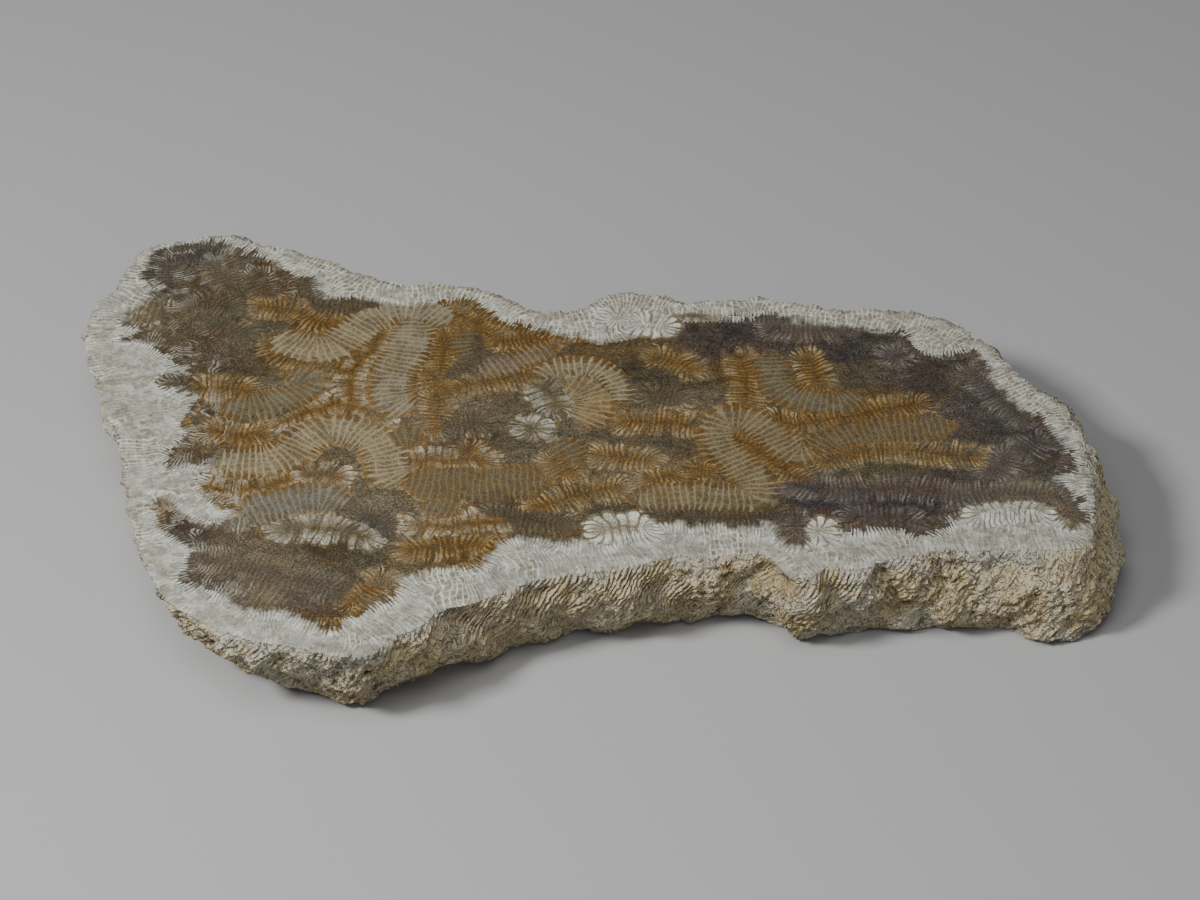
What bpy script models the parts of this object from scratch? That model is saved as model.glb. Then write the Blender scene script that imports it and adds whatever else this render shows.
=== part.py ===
"""A sawn and polished slab of fossil brain coral, in one piece: flat face up, flat sawn base down.

The coral head was cut twice, so the slab has two parallel faces. Between them runs the head's own
weathered skin, lofted here from the outline of the polished face down to that of the base.
"""

import math

import bmesh
import bpy
import numpy as np
from mathutils import Vector, noise

MM = 0.001  # everything below is in millimetres, and the mesh is scaled by this at the end

# Driving dimensions
LENGTH = 245.0  # along X, over everything
WIDTH = 154.5  # along Y, over everything
THICKNESS = 24.0  # from the sawn base to the polished face

# How finely the skin is divided
COLUMNS = 440  # points round the slab
ROWS = 9  # bands of faces from the polished face down to the base

# The edge of the polished face, seen from above, clockwise from the left-hand tip.
FACE_OUTLINE = [
    # up the left side and over the tall left-hand lobe
    (-122.0, 37.0), (-121.0, 48.0), (-116.0, 53.5), (-114.5, 62.0), (-112.5, 69.0), (-105.5, 73.5),
    (-99.5, 74.0), (-96.5, 76.0), (-88.5, 76.5), (-83.0, 72.5), (-74.5, 69.5), (-62.5, 65.0),
    # down the back edge into its first hollow
    (-60.5, 62.5), (-52.5, 58.0), (-45.5, 55.5), (-42.0, 56.5), (-32.5, 55.5), (-24.5, 53.0),
    (-17.5, 49.0), (-15.0, 46.0), (-8.0, 44.5), (-0.5, 47.0),
    # along the back, with the small notch in it
    (2.0, 50.5), (7.5, 52.5), (15.5, 51.5), (22.0, 50.0), (24.0, 47.5), (26.0, 50.0), (36.5, 49.5),
    (39.5, 51.0), (44.5, 50.0), (47.0, 48.5), (50.5, 49.5), (52.5, 47.0), (55.0, 48.0),
    (58.0, 46.0), (63.0, 45.0), (65.5, 46.5), (78.0, 45.0),
    # round the sloping right-hand end
    (84.0, 42.5), (91.0, 38.5), (92.5, 35.5), (96.5, 32.5), (101.5, 21.5), (105.5, 14.5),
    (109.0, 12.5), (112.5, 8.0), (113.0, 2.5), (115.0, -1.5), (115.0, -8.5), (114.5, -12.5),
    (115.0, -20.5), (114.5, -30.5), (113.0, -38.0), (109.5, -42.5),
    # back along the front edge, scalloped where the outer lobes of the coral end
    (99.5, -43.0), (85.5, -43.0), (74.5, -43.5), (64.0, -47.5), (59.5, -49.5), (53.0, -48.0),
    (49.5, -51.5), (45.5, -52.5), (43.0, -49.5), (40.5, -45.0), (35.0, -44.0), (27.0, -45.5),
    (18.0, -45.0), (8.0, -49.0), (-2.0, -50.5), (-12.5, -53.0), (-23.0, -59.5), (-32.0, -62.5),
    # round the front left-hand lobe
    (-36.0, -67.5), (-42.5, -72.5), (-46.0, -76.5), (-53.0, -77.5), (-61.0, -75.0),
    (-67.0, -73.0), (-72.5, -73.0), (-77.5, -70.0), (-90.5, -62.0), (-94.5, -57.0),
    # and up the left side
    (-99.0, -46.5), (-104.0, -30.5), (-105.5, -22.5), (-108.0, -13.0), (-109.5, -3.0),
    (-113.0, 4.0), (-115.0, 12.0), (-115.5, 16.5), (-119.0, 21.0), (-120.5, 27.0),
]  # fmt: skip

# How the skin leans between the faces: near this point of the edge, how far its belly stands out,
# and how far out (+) or in (-) its foot is on the base, both from the edge of the polished face.
LEAN = [
    # x, y, belly, foot
    (-122.0, 37.0, -2.0, -10.0),
    (-92.0, 76.5, 1.0, -5.0),
    (-12.0, 44.5, 1.0, -4.0),
    (78.0, 45.0, 1.5, -3.0),
    (103.0, 19.5, 2.0, 0.0),
    (115.0, -2.5, 2.5, 3.5),
    (115.0, -17.5, 8.5, 9.0),
    (114.5, -30.5, 10.5, 13.0),
    (109.5, -43.0, 9.5, 13.5),
    (97.5, -43.0, 1.5, -1.5),
    (67.5, -44.5, 1.5, -1.5),
    (45.5, -52.5, 1.0, -12.0),
    (-2.0, -50.5, 1.5, -4.0),
    (-23.0, -59.5, 2.0, -6.0),
    (-46.0, -76.5, 4.5, -5.0),
    (-61.0, -75.0, 0.0, -12.0),
    (-77.5, -70.0, -3.0, -17.0),
    (-94.5, -57.0, -3.5, -15.0),
    (-105.5, -22.5, -3.5, -12.0),
    (-115.0, 12.0, -2.5, -11.0),
]

# Relief of the weathered skin: each kind of lump has its own width and height
EDGE_SMOOTHING = 1.2  # rounds the straight runs between the outline's points
FOOT_SMOOTHING = 5.0  # the base's outline keeps the large lobes only
LUMP_SIZE, LUMP_HEIGHT = 17.0, 2.4
KNOB_SIZE, KNOB_HEIGHT = 6.5, 1.0
RIDGE_SIZE, RIDGE_HEIGHT = 3.4, 1.1  # broken ridges, the worn walls of the coral's septa
RIDGE_STRETCH = 0.22  # how little a ridge changes on its way down the skin
FURROW_COUNT, FURROW_DEPTH = 46, 1.6  # old valleys of the coral, cut through by the slab's sides
FURROW_WANDER = 8.0
SLANT = 0.8  # how far ridges and furrows run sideways for each millimetre that they drop
PIT_SPACING, PIT_RADIUS, PIT_DEPTH = 9.0, 0.30, 1.6  # the radius is a share of the spacing
LEDGE_HEIGHT, LEDGE_DROP = 0.8, 7.0  # low steps that run along the skin, and how far apart
TOOTH_SIZE, TOOTH_HEIGHT = 3.2, 0.5  # small teeth along the edge of the polished face
CALM_DEPTH = 2.6  # the relief grows from nothing to full over this depth below the face

STONE_COLOUR = (0.50, 0.42, 0.29, 1.0)
STONE_ROUGHNESS = 0.75


def clear_scene():
    for obj in list(bpy.data.objects):
        bpy.data.objects.remove(obj, do_unlink=True)


def lengths_round(ring):
    """Distance along a closed ring at each of its points, and its whole length last."""
    steps = np.linalg.norm(np.roll(ring, -1, axis=0) - ring, axis=1)
    return np.concatenate([[0.0], np.cumsum(steps)])


def spread_evenly(ring, count):
    """The same closed ring with count points the same distance apart."""
    along = lengths_round(ring)
    closed = np.vstack([ring, ring[:1]])
    wanted = np.arange(count) * along[-1] / count
    return np.column_stack([np.interp(wanted, along, closed[:, k]) for k in (0, 1)])


def smoothed(ring, reach):
    """A closed, evenly spread ring averaged over a bell curve of this reach, in millimetres."""
    step = lengths_round(ring)[-1] / len(ring)
    half = int(math.ceil(3 * reach / step))
    offsets = np.arange(-half, half + 1)
    weights = np.exp(-0.5 * (offsets * step / reach) ** 2)
    weights /= weights.sum()
    return sum(w * np.roll(ring, -k, axis=0) for w, k in zip(weights, offsets))


def outward(ring):
    """Unit vectors that point out of a clockwise ring."""
    along = np.roll(ring, -1, axis=0) - np.roll(ring, 1, axis=0)
    along /= np.linalg.norm(along, axis=1)[:, None]
    return np.column_stack([-along[:, 1], along[:, 0]])


def lean_round(ring):
    """The belly and the foot at each point of the ring, blended smoothly between those in LEAN."""
    along = lengths_round(ring)
    spots = []
    for x, y, belly, foot in LEAN:
        nearest = int(np.argmin(np.hypot(ring[:, 0] - x, ring[:, 1] - y)))
        spots.append((along[nearest], belly, foot))
    spots = np.array(sorted(spots))
    blended = [
        np.interp(along[:-1], spots[:, 0], spots[:, k], period=along[-1]) for k in (1, 2)
    ]
    return smoothed(np.column_stack(blended), FOOT_SMOOTHING)


def relief(x, y, depth, tangent, turn):
    """Height of the weathered skin over its smooth form at one place, in millimetres."""
    spot = Vector((x, y, depth))
    slide = SLANT * depth
    slanted = Vector((x + tangent[0] * slide, y + tangent[1] * slide, depth * RIDGE_STRETCH))
    height = LUMP_HEIGHT * noise.noise(spot / LUMP_SIZE)
    height += KNOB_HEIGHT * noise.noise(spot / KNOB_SIZE)
    height += RIDGE_HEIGHT * noise.noise(slanted / RIDGE_SIZE)
    wander = noise.noise(spot / 24.0)
    valley = math.cos(2 * math.pi * turn + (slide + FURROW_WANDER * wander) * 0.4)
    height -= FURROW_DEPTH * (0.5 + 0.5 * valley) ** 3
    pit = noise.voronoi(spot / PIT_SPACING)[0][0]
    height -= PIT_DEPTH * max(0.0, 1 - pit / PIT_RADIUS)
    step = (depth + 5.0 * wander) / LEDGE_DROP
    height += LEDGE_HEIGHT * (0.5 - (step - math.floor(step)))
    return height


def skin_rings():
    """The rings of the skin, from the polished face down to the base, as (x, y, z) arrays."""
    edge = smoothed(spread_evenly(np.array(FACE_OUTLINE), COLUMNS), EDGE_SMOOTHING)
    broad = smoothed(edge, FOOT_SMOOTHING)
    out = outward(broad)
    belly, foot = lean_round(edge).T
    rings = []
    for row in range(ROWS + 1):
        share = row / ROWS
        depth = share * THICKNESS
        base = edge * (1 - share) + broad * share
        lean = 4 * share * (1 - share) * belly + share**2 * foot
        growth = min(1.0, depth / CALM_DEPTH)
        ring = np.empty((COLUMNS, 3))
        for i, (x, y) in enumerate(base):
            tangent = (-out[i, 1], out[i, 0])
            turn = FURROW_COUNT * i / COLUMNS
            tooth = TOOTH_HEIGHT * noise.noise(Vector((x, y, 0.0)) / TOOTH_SIZE)
            push = lean[i] + tooth * (1 - growth) + growth * relief(x, y, depth, tangent, turn)
            ring[i, :2] = base[i] + out[i] * push
        ring[:, 2] = THICKNESS - depth
        rings.append(ring)
    return rings


def fitted(rings):
    """The rings at their exact overall length and width, with the base's middle at the origin."""
    everything = np.vstack(rings)
    low, high = everything.min(axis=0), everything.max(axis=0)
    middle = (low + high) / 2
    scale = np.array([LENGTH, WIDTH]) / (high - low)[:2]
    for ring in rings:
        ring[:, :2] = (ring[:, :2] - middle[:2]) * scale
    return rings


def coral_slab():
    """Extrudes the edge of the face down ring by ring, then closes the face and the base."""
    rings = fitted(skin_rings())
    bm = bmesh.new()
    top = [bm.verts.new(Vector(point) * MM) for point in rings[0]]
    edges = [bm.edges.new((a, b)) for a, b in zip(top, top[1:] + top[:1])]
    face = bm.faces.new(top)
    for ring in rings[1:]:
        made = bmesh.ops.extrude_edge_only(bm, edges=edges)["geom"]
        below = [item for item in made if isinstance(item, bmesh.types.BMVert)]
        edges = [item for item in made if isinstance(item, bmesh.types.BMEdge)]
        for vertex, point in zip(below, ring):
            vertex.co = Vector(point) * MM
    bmesh.ops.contextual_create(bm, geom=edges)
    bmesh.ops.triangulate(bm, faces=[f for f in bm.faces if len(f.verts) > 4])
    bmesh.ops.recalc_face_normals(bm, faces=bm.faces)
    mesh = bpy.data.meshes.new("coral_slab")
    bm.to_mesh(mesh)
    bm.free()
    return mesh


def stone():
    material = bpy.data.materials.new("fossil_coral")
    material.use_nodes = True
    shader = material.node_tree.nodes["Principled BSDF"]
    shader.inputs["Base Color"].default_value = STONE_COLOUR
    shader.inputs["Roughness"].default_value = STONE_ROUGHNESS
    shader.inputs["Metallic"].default_value = 0.0
    return material


def main():
    clear_scene()
    collection = bpy.data.collections.new("fossil_brain_coral_slab")
    bpy.context.scene.collection.children.link(collection)
    slab = bpy.data.objects.new("coral_slab", coral_slab())
    slab.data.materials.append(stone())
    collection.objects.link(slab)


main()
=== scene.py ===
# %% [markdown]
# # A slab of fossil brain coral
# A brain coral is a round head of stone that a colony built over centuries. Its surface is folded
# into long winding valleys with walls between them, and every valley is lined with thin upright
# plates, the septa, about seven to the centimetre. This head turned to silica, was sawn into
# slabs, and one face was polished. So the same plates show twice: as a drawing of ladders, fans
# and stars on the polished face, and as rough combs on the weathered sides.

# %% Load the solid slab
import math
from types import SimpleNamespace

import bmesh
import bpy
import numpy as np
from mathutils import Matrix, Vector, geometry, kdtree, noise
from mathutils.bvhtree import BVHTree


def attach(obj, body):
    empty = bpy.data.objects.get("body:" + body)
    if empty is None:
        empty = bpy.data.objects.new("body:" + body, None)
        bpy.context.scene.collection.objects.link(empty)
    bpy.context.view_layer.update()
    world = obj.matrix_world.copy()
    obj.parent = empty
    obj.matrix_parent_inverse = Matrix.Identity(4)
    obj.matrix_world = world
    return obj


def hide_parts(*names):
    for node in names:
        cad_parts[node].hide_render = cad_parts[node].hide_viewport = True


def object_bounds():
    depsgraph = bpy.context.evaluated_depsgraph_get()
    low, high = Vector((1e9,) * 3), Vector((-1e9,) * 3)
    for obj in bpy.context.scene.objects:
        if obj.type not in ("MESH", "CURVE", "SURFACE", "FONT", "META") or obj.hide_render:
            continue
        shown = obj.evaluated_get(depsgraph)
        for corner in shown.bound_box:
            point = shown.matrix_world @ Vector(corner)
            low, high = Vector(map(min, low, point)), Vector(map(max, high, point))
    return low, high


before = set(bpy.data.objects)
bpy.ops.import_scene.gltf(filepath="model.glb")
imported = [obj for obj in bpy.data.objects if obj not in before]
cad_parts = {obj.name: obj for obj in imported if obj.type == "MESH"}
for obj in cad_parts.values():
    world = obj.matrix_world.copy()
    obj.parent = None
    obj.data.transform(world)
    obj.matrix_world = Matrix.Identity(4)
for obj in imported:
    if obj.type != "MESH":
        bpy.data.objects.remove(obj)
cad_low, cad_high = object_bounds()
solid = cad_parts["coral_slab"]
MM = 0.001
THICKNESS = cad_high.z / MM
print("solid slab, mm:", [round(c / MM, 1) for c in cad_high - cad_low])

# %% [markdown]
# ## Camera, light and floor
# A flat thing is best seen from well above its edge, but not so high that its thickness is lost.
# From 40 degrees both the polished drawing and the rough side show. A long lens keeps the two ends
# of the slab in proportion.

# %% Camera
CAMERA_ELEVATION = 40.0
CAMERA_DISTANCE = 0.75
CAMERA_LENS = 97.5
AIM = Vector((2.3, -7.9, THICKNESS)) * MM


def placed(name, data):
    """A new object in the scene."""
    made = bpy.data.objects.new(name, data)
    bpy.context.scene.collection.objects.link(made)
    return made


def add_camera():
    data = bpy.data.cameras.new("camera")
    data.lens = CAMERA_LENS
    camera = placed("camera", data)
    tilt = math.radians(CAMERA_ELEVATION)
    back = Vector((0, -math.cos(tilt), math.sin(tilt)))
    camera.location = AIM + back * CAMERA_DISTANCE
    camera.rotation_euler = back.to_track_quat("Z", "Y").to_euler()
    bpy.context.scene.camera = camera


add_camera()
print("camera at, m:", [round(c, 3) for c in bpy.context.scene.camera.location])

# %% [markdown]
# A small lamp in front, high on the left, rakes along the side, so that its crags throw small
# shadows. A larger and softer one above the front lights the face, but stands where the polish
# doesn't mirror it into the camera. A wide weak one on the right fills the shadows. The floor is a
# plain pale sheet.

# %% Lamps and floor
LAMPS = {
    # name: place in metres, width in metres, watts
    "key": ((-0.52, -0.30, 0.62), 0.16, 7.8),
    "top": ((-0.10, -0.40, 0.95), 0.55, 4.6),
    "fill": ((0.55, -0.95, 0.30), 0.8, 2.2),
}
SKY_COLOUR = (0.75, 0.77, 0.80, 1.0)
SKY_STRENGTH = 0.12
FLOOR_COLOUR = (0.36, 0.36, 0.36, 1.0)
FLOOR_SIZE = 6.0
FLOOR_DROP = 0.0002  # keeps the floor clear of the slab's base


def add_lamp(name, place, width, watts):
    data = bpy.data.lights.new(name, "AREA")
    data.size = width
    data.energy = watts
    lamp = placed(name, data)
    lamp.location = place
    lamp.rotation_euler = (Vector(place) - AIM).to_track_quat("Z", "Y").to_euler()


def add_sky():
    world = bpy.data.worlds.new("studio")
    bpy.context.scene.world = world
    world.use_nodes = True
    sky = world.node_tree.nodes["Background"]
    sky.inputs["Color"].default_value = SKY_COLOUR
    sky.inputs["Strength"].default_value = SKY_STRENGTH


def add_floor():
    mesh = bpy.data.meshes.new("floor")
    bm = bmesh.new()
    bmesh.ops.create_grid(bm, x_segments=1, y_segments=1, size=FLOOR_SIZE / 2)
    bm.to_mesh(mesh)
    bm.free()
    floor = placed("floor", mesh)
    floor.location.z = -FLOOR_DROP
    paper = bpy.data.materials.new("floor_paper")
    paper.use_nodes = True
    shader = paper.node_tree.nodes["Principled BSDF"]
    shader.inputs["Base Color"].default_value = FLOOR_COLOUR
    shader.inputs["Roughness"].default_value = 0.9
    mesh.materials.append(paper)


for lamp_name, facts in LAMPS.items():
    add_lamp(lamp_name, *facts)
add_sky()
add_floor()
print("lamps:", ", ".join(LAMPS))

# %% [markdown]
# ## Writing node trees as sums
# Both the finish and the weathering are made of arithmetic on patterns. A small class stands for
# one socket of a node tree, so that `1 - mask` adds the node that works it out. Written out as
# nodes by hand, the same sums would fill several screens.


# %% Sockets
def sum_of(operation, swapped=False):
    """A method that adds the Math node of one sum, with its two values swapped if asked."""

    def method(self, other):
        pair = (other, self) if swapped else (self, other)
        return self.bench.node("ShaderNodeMath", {"operation": operation}, dict(enumerate(pair)))

    return method


class Wire:
    """One output socket of a tree. A sum on it adds a Math node."""

    __add__ = __radd__ = sum_of("ADD")
    __mul__ = __rmul__ = sum_of("MULTIPLY")
    __sub__ = sum_of("SUBTRACT")
    __rsub__ = sum_of("SUBTRACT", swapped=True)
    __truediv__ = sum_of("DIVIDE")
    __rtruediv__ = sum_of("DIVIDE", swapped=True)
    least = sum_of("MINIMUM")
    most = sum_of("MAXIMUM")
    above = sum_of("GREATER_THAN")

    def __init__(self, bench, socket):
        self.bench = bench
        self.socket = socket

    def math(self, operation):
        """A sum on this value alone, such as its whole part."""
        return self.bench.node("ShaderNodeMath", {"operation": operation}, {0: self})

    def fold(self):
        """0 in the middle of each whole number's span and 1 at its ends."""
        return (self.math("FRACT") - 0.5).math("ABSOLUTE") * 2.0

    def rise(self, start, end):
        """Goes smoothly from 0 at start to 1 at end."""
        sockets = {"Value": self, "From Min": start, "From Max": end}
        return self.bench.node("ShaderNodeMapRange", {"interpolation_type": "SMOOTHSTEP"}, sockets)

    def fall(self, start, end):
        """Goes smoothly from 1 at start to 0 at end."""
        return 1.0 - self.rise(start, end)

    def vector(self, operation, sockets):
        """A sum on this vector."""
        settings = {"operation": operation}
        return self.bench.node("ShaderNodeVectorMath", settings, {0: self, **sockets})

    def scaled(self, factor):
        """This vector times a number."""
        return self.vector("SCALE", {"Scale": factor})

    def moved(self, other):
        """This vector plus another."""
        return self.vector("ADD", {1: other})


print("a wire has", ", ".join(name for name in vars(Wire) if name[0] != "_"))

# %% [markdown]
# A bench holds the tree itself. Every node that isn't a plain sum comes from its one method, and
# the few that are used most, such as noise and the mixing of colours, have a short way to ask.


# %% Benches
class Bench:
    """A node tree that is being written, and the place in millimetres that its noises read."""

    place = None

    def __init__(self, tree):
        self.tree = tree
        tree.nodes.clear()

    def node(self, kind, settings=None, sockets=None, out=0):
        made = self.tree.nodes.new(kind)
        for name, value in (settings or {}).items():
            setattr(made, name, value)
        for key, value in (sockets or {}).items():
            if isinstance(value, Wire):
                self.tree.links.new(value.socket, made.inputs[key])
            else:
                made.inputs[key].default_value = value
        return Wire(self, made.outputs[out]) if made.outputs else made

    def noise(self, size, detail=2.0, roughness=0.5, shift=None, at=None, out=0):
        """Cloudy noise from 0 to 1 whose clouds are about this size, in millimetres."""
        place = at or self.place
        place = place.moved(shift) if shift else place
        sockets = {"Vector": place, "Scale": 1 / size, "Detail": detail, "Roughness": roughness}
        return self.node("ShaderNodeTexNoise", {}, sockets, out)

    def stray(self, reach, *size, **how):
        """Noise that strays up to half this reach to either side of 0."""
        return (self.noise(*size, **how) - 0.5) * reach

    def swirl(self):
        """Noise that bends the strands of septa about, as a vector."""
        return self.noise(9.0, 2.0, out="Color").moved((-0.5, -0.5, -0.5)).scaled(5.0)

    def cells(self, size, shift=None, out=0):
        """Distance to the nearest of many scattered points about this far apart, in cell sizes."""
        place = self.place.moved(shift) if shift else self.place
        return self.node("ShaderNodeTexVoronoi", {}, {"Vector": place, "Scale": 1 / size}, out)

    def mix(self, factor, first, second, blend="MIX"):
        """Colours blended: first at 0 and second at 1."""
        settings = {"data_type": "RGBA", "blend_type": blend}
        return self.node("ShaderNodeMix", settings, {0: factor, 6: first, 7: second}, 2)

    def laid(self, colour, *layers):
        """A colour with others laid over it in turn: how strongly, which, and how they blend."""
        for factor, tone, *blend in layers:
            colour = self.mix(factor, colour, tone, *blend)
        return colour

    def part(self, vector, axis):
        """One of a vector's three numbers."""
        return self.node("ShaderNodeSeparateXYZ", {}, {0: vector}, axis)

    def joined(self, *parts):
        """A vector made of up to three numbers."""
        return self.node("ShaderNodeCombineXYZ", {}, dict(zip("XYZ", parts)))


print("a bench has", ", ".join(name for name in vars(Bench) if name[0] != "_"))

# %% [markdown]
# ## The outline of the face
# Everything else hangs on the polished face's edge, so it is read from the solid: the edges where
# a level face meets a sloping one. They are walked into one ring and then spread evenly.

# %% Read the edge of the polished face
COLUMNS = 1800  # points round the slab, about 0.4 mm apart
SLANT = 0.8  # the old septa run this far sideways for each millimetre that they drop

shell = bmesh.new()
shell.from_mesh(solid.data)
bmesh.ops.remove_doubles(shell, verts=shell.verts, dist=1e-6)
shell.normal_update()


def face_edge():
    """The ring of points round the polished face, in millimetres."""
    top = THICKNESS * MM - 1e-6
    level = [f for f in shell.faces if all(v.co.z > top for v in f.verts)]
    inside = set(level)
    step = {}
    for face in level:
        for loop in face.loops:
            if any(f not in inside for f in loop.edge.link_faces):
                step[loop.vert] = loop.link_loop_next.vert
    start = min(step, key=lambda v: v.co.x)
    ring, here = [start], step[start]
    while here is not start:
        ring.append(here)
        here = step[here]
    return np.array([v.co.xy for v in reversed(ring)]) / MM


def lengths_along(line):
    return np.concatenate([[0.0], np.cumsum(np.linalg.norm(np.diff(line, axis=0), axis=1))])


def spread(line, count):
    """The same line with count points the same distance apart."""
    along = lengths_along(line)
    wanted = np.linspace(0, along[-1], count)
    return np.column_stack([np.interp(wanted, along, line[:, k]) for k in (0, 1)])


def bell(values, reach, axis=0, closed=True):
    """Values averaged over a bell curve of this reach, counted in points."""
    half = int(math.ceil(reach * 3))
    offsets = np.arange(-half, half + 1)
    weights = np.exp(-0.5 * (offsets / reach) ** 2)
    weights /= weights.sum()
    pad = [(half, half) if a == axis else (0, 0) for a in range(values.ndim)]
    padded = np.pad(values, pad, mode="wrap" if closed else "edge")
    length = values.shape[axis]
    parts = [np.take(padded, range(k, k + length), axis=axis) for k in range(2 * half + 1)]
    return sum(w * part for w, part in zip(weights, parts))


def outward_of(ring, reach):
    """Unit vectors pointing out of a clockwise ring, steadied over this reach."""
    steady = bell(ring, reach)
    along = np.roll(steady, -1, axis=0) - np.roll(steady, 1, axis=0)
    along /= np.linalg.norm(along, axis=1)[:, None]
    return np.column_stack([-along[:, 1], along[:, 0]])


rough_edge = face_edge()
edge_ring = spread(np.vstack([rough_edge, rough_edge[:1]]), COLUMNS + 1)[:-1]
EDGE_LENGTH = lengths_along(np.vstack([edge_ring, edge_ring[:1]]))[-1]
edge_out = outward_of(edge_ring, 12)
print(f"edge: {len(rough_edge)} points in the solid, {EDGE_LENGTH:.0f} mm round")

# %% [markdown]
# ## The skin, wrapped onto the solid
# The sides need far finer crags than the solid has, but they must follow its form. So a fine net
# is thrown at it: from every point of the net a ray runs inwards until it meets the solid. The
# net's columns slant, as the coral's septa do, so that combs can be raised along them later.

# %% Wrap a fine net round the solid
ROWS = 36
FIRST_STEP = 0.35  # the rows are closer together under the polished edge
CAST_FROM = 18.0  # rays start this far outside the edge, in mm
RAY_LENGTH = 0.06  # in metres
RAY_INSET = 0.05  # rays keep this far from the level of either face, in mm
FACET_REACH = 2.2  # softens the solid's facets, counted in points of the net


def row_depths():
    """Depth of each row below the polished face, closer together at the top."""
    t = np.linspace(0, 1, ROWS + 1)
    slope = FIRST_STEP * ROWS
    return slope * t + (THICKNESS - slope) * t**1.6


def ring_at(values, columns):
    """Values of a ring read between its points."""
    whole = np.floor(columns).astype(int)
    part = (columns - whole)[:, None]
    return values[whole % COLUMNS] * (1 - part) + values[(whole + 1) % COLUMNS] * part


def wrap_net():
    """Points of the net, and the unit vectors that point out of the slab there."""
    tree = BVHTree.FromBMesh(shell)
    depths = row_depths()
    places, outs, pushes = [], [], []
    for depth in depths:
        columns = np.arange(COLUMNS) + SLANT * depth * COLUMNS / EDGE_LENGTH
        base, out = ring_at(edge_ring, columns), ring_at(edge_out, columns)
        out /= np.linalg.norm(out, axis=1)[:, None]
        height = min(max(THICKNESS - depth, RAY_INSET), THICKNESS - RAY_INSET)
        push = np.zeros(COLUMNS)
        for i in range(COLUMNS):
            start = Vector((*(base[i] + out[i] * CAST_FROM), height)) * MM
            hit = tree.ray_cast(start, Vector((*-out[i], 0.0)), RAY_LENGTH)[3]
            push[i] = CAST_FROM - hit / MM if hit is not None else push[i - 1]
        places.append(base)
        outs.append(out)
        pushes.append(push)
    pushes = np.array(pushes)
    soft = bell(bell(pushes, FACET_REACH, axis=1), 1.0, axis=0, closed=False)
    soft[0] = 0.0
    flat = np.array(places) + np.array(outs) * soft[:, :, None]
    heights = np.repeat(THICKNESS - depths, COLUMNS).reshape(ROWS + 1, COLUMNS, 1)
    return np.concatenate([flat, heights], axis=2), np.array(outs), depths


net, net_out, net_depths = wrap_net()
print(f"net: {COLUMNS} columns by {ROWS} rows, from {net_depths[1]:.2f} mm under the edge")

# %% [markdown]
# ## The two sawn faces
# A face is only a flat sheet, but the coral's drawing is held by its points, so it needs many. It
# is filled with an even three-cornered grid, and the grid is joined to the ring by a Delaunay
# triangulation, which makes no slivers. The base has a dull face, so its grid is coarser.

# %% Fill the face and the base
FACE_SPACING, FACE_MARGIN = 0.98, 1.35
BASE_SPACING, BASE_MARGIN = 2.5, 3.4


def is_inside(points, ring):
    """Which points a closed ring surrounds, by counting how often a ray crosses it."""
    result = np.zeros(len(points), bool)
    x, y = points.T
    for (x1, y1), (x2, y2) in zip(ring, np.roll(ring, -1, axis=0)):
        if y1 != y2:
            result ^= ((y > y1) != (y > y2)) & (x < x1 + (y - y1) * (x2 - x1) / (y2 - y1))
    return result


def tree_of(points):
    tree = kdtree.KDTree(len(points))
    for i, (x, y) in enumerate(points):
        tree.insert((x, y, 0.0), i)
    tree.balance()
    return tree


def filled(ring, spacing, margin):
    """Points inside the ring, and triangles of the ring and those points."""
    low, high = ring.min(axis=0), ring.max(axis=0)
    rows = np.arange(low[1], high[1], spacing * math.sqrt(0.75))
    grid = []
    for k, y in enumerate(rows):
        x = np.arange(low[0] + (k % 2) * spacing / 2, high[0], spacing)
        grid.append(np.column_stack([x, np.full(len(x), y)]))
    grid = np.vstack(grid)
    grid = grid[is_inside(grid, ring[::3])]
    tree = tree_of(ring)
    grid = grid[[tree.find((x, y, 0.0))[2] > margin for x, y in grid]]
    corners = [Vector(p) for p in np.vstack([ring, grid])]
    made = geometry.delaunay_2d_cdt(corners, [], [list(range(len(ring)))], 1, 1e-5)
    if len(made[0]) != len(corners):
        raise RuntimeError("the triangulation added points")
    return grid, np.array(made[2])


face_grid, face_triangles = filled(net[0, :, :2], FACE_SPACING, FACE_MARGIN)
base_grid, base_triangles = filled(net[-1, :, :2], BASE_SPACING, BASE_MARGIN)
print(f"face: {len(face_triangles)} triangles, base: {len(base_triangles)}")

# %% [markdown]
# ## Where the valleys run
# On the cut face each valley of the colony shows as a line with septa standing off both its sides,
# like the barbs of a feather, and each short valley as a star. A maker would trace these lines with
# a pencil on the real slab. Here they are short lists of points, in millimetres from the middle of
# the slab, sorted by the look of their septa.

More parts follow.
